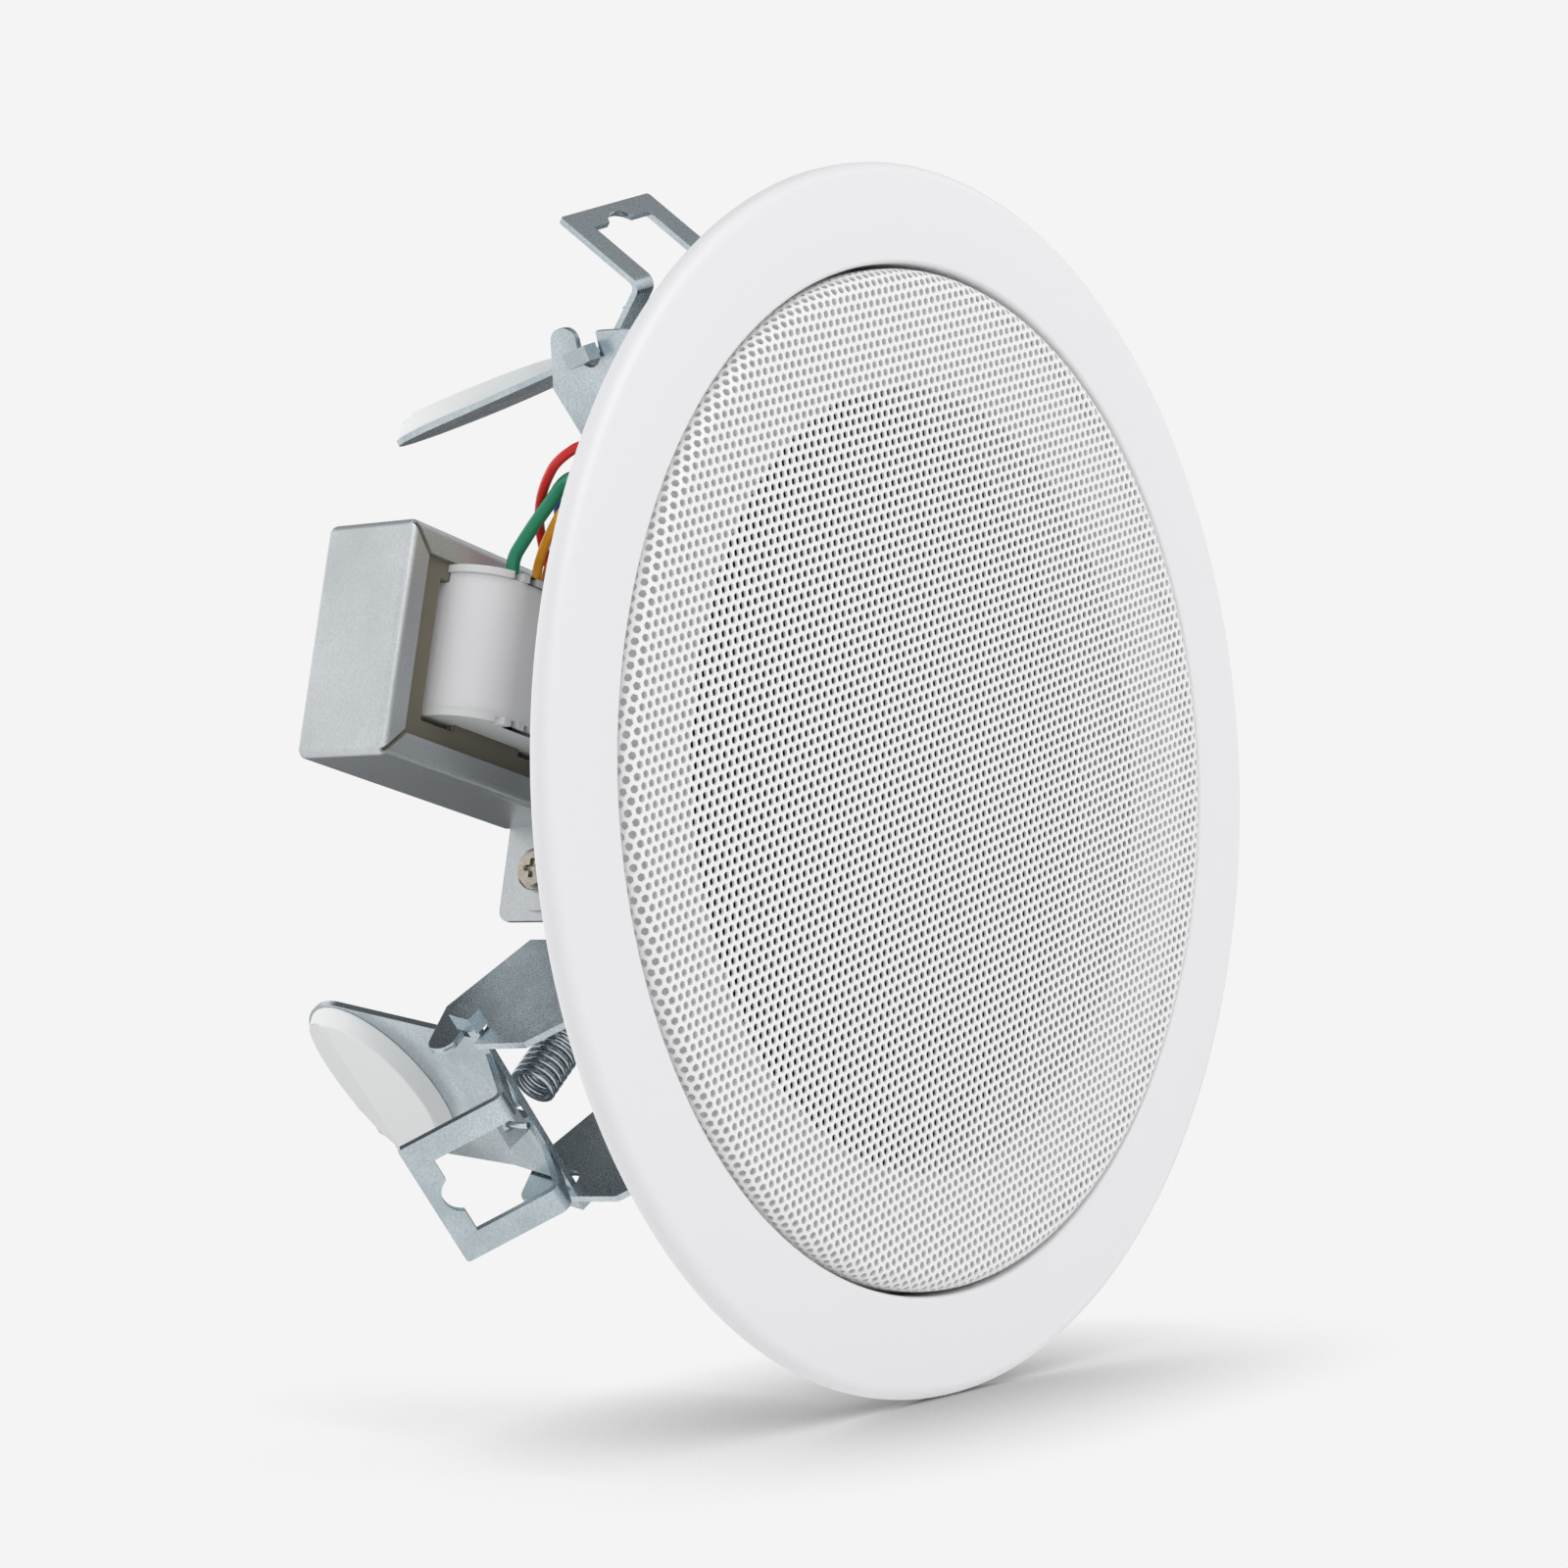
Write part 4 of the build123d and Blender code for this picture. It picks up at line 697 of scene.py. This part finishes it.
pick()
bpy.ops.mesh.primitive_plane_add(size=FLOOR_SIZE, location=(0, 0, FLOOR_Z * MM))
floor = bpy.context.active_object
floor.name = "floor"
bpy.ops.object.transform_apply(location=True, rotation=True, scale=True)
material, tree = begin("studio floor")
camera_ray, seen = looked_at(tree)
# Painted shadow: to camera rays the floor glows the background's grey, darkened near the speaker by ambient
# occlusion out to SHADOW_REACH metres; reflections see the plain grey, and other rays see a matt floor.
painted_contact_shadow = add_node(tree, "ShaderNodeAmbientOcclusion", {
    "Color": colour(BACKGROUND), "Distance": SHADOW_REACH,
}, samples=8)
shaded = add_node(tree, "ShaderNodeMix", {
    "Factor": camera_ray, 6: colour(BACKGROUND), 7: painted_contact_shadow.outputs["Color"],
}, data_type="RGBA")
pale = add_node(tree, "ShaderNodeEmission", {"Color": shaded.outputs[2]})
matt = add_node(tree, "ShaderNodeBsdfDiffuse", {"Color": colour(BACKGROUND)})
surface = add_node(tree, "ShaderNodeMixShader", {0: seen, 1: matt.outputs[0], 2: pale.outputs[0]})
add_node(tree, "ShaderNodeOutputMaterial", {"Surface": surface.outputs[0]})
floor.data.materials.append(material)
print("floor at", FLOOR_Z, "mm")

# %% [markdown]
# ## Reflection cards
# Flat plated metal shows whatever it faces. In a pale room it would look like white plastic, so
# photographers stand grey cards, called flags, just out of the picture. Four such planes are hidden from
# the camera, cast no shadow and give no light: only reflections see them.


# %% Reflection cards
def flag(name, place, size, turn, code):
    """A square card that only reflections see, with its place and side in metres."""
    pick()
    bpy.ops.mesh.primitive_plane_add(size=size, location=place, rotation=turn)
    card = bpy.context.active_object
    card.name = name
    bpy.ops.object.transform_apply(location=True, rotation=True, scale=True)
    card.visible_camera = card.visible_diffuse = card.visible_shadow = False
    material, tree = begin(name)
    matt = add_node(tree, "ShaderNodeBsdfDiffuse", {"Color": colour(code)})
    add_node(tree, "ShaderNodeOutputMaterial", {"Surface": matt.outputs[0]})
    card.data.materials.append(material)


LEVEL, UPRIGHT = (0, 0, 0), (0, math.radians(90), math.radians(38))
ABOVE_FLOOR = 0.004
flag("flag above", (0.13, 0.74, 0.9), 1.3, LEVEL, "#45474A")
flag("flag below", (0.37, 0.42, FLOOR_Z * MM + ABOVE_FLOOR), 0.8, LEVEL, "#3C3E40")
flag("flag behind", (0.9, 0.7, 0.35), 0.9, UPRIGHT, "#7E8082")
flag("flag aside", (0.66, -0.2, 0.9), 0.6, LEVEL, "#9C9EA0")

# %% [markdown]
# ## Light and camera
# A large soft lamp above the front is the key, and a second one behind lifts the rear pieces. It is
# hidden from reflections, where its square would show in the metal. The camera stands where the
# photographer's did.

# %% Lamps and world
WORLD_STRENGTH = 0.72


def soft_lamp(name, place, size, watts):
    """A square lamp that faces the speaker, with its place and side in metres."""
    pick()
    bpy.ops.object.light_add(type="AREA", location=place)
    lamp = bpy.context.active_object
    lamp.name = name
    lamp.data.size = size
    lamp.data.energy = watts
    lamp.rotation_euler = (-Vector(place)).to_track_quat("-Z", "Y").to_euler()
    return lamp


soft_lamp("key lamp", (-0.2, -1.2, 1.2), 1.4, 10.5)
back_lamp = soft_lamp("back lamp", (-0.6, 1.4, 0.4), 1.0, 9.0)
back_lamp.visible_glossy = False

world = bpy.data.worlds.new("studio")
bpy.context.scene.world = world
world.use_nodes = True
tree = world.node_tree
tree.nodes.clear()
camera_ray, seen = looked_at(tree)
light = add_node(tree, "ShaderNodeBackground", {"Color": (1, 1, 1, 1), "Strength": WORLD_STRENGTH})
backdrop = add_node(tree, "ShaderNodeBackground", {"Color": colour(BACKGROUND), "Strength": 1.0})
both = add_node(tree, "ShaderNodeMixShader", {0: seen, 1: light.outputs[0], 2: backdrop.outputs[0]})
add_node(tree, "ShaderNodeOutputWorld", {"Surface": both.outputs[0]})

# %% Camera
CAMERA_PLACE = (-0.4841, -0.3267, -0.0106)
CAMERA_RIGHT, CAMERA_UP = (0.592, -0.805, -0.0245), (0, -0.030, 0.9995)
CAMERA_BACK = (-0.805, -0.592, -0.018)
LENS, SENSOR, NEAREST = 82.1, 36.0, 0.01

camera_data = bpy.data.cameras.new("camera")
camera = bpy.data.objects.new("camera", camera_data)
bpy.context.scene.collection.objects.link(camera)
turned = Matrix((CAMERA_RIGHT, CAMERA_UP, CAMERA_BACK)).transposed().to_4x4()
camera.matrix_world = Matrix.Translation(CAMERA_PLACE) @ turned
camera_data.lens = LENS
camera_data.sensor_width = SENSOR
camera_data.clip_start = NEAREST
bpy.context.scene.camera = camera
bpy.context.scene.view_settings.view_transform = "Standard"
print("camera with a lens of", LENS, "mm")
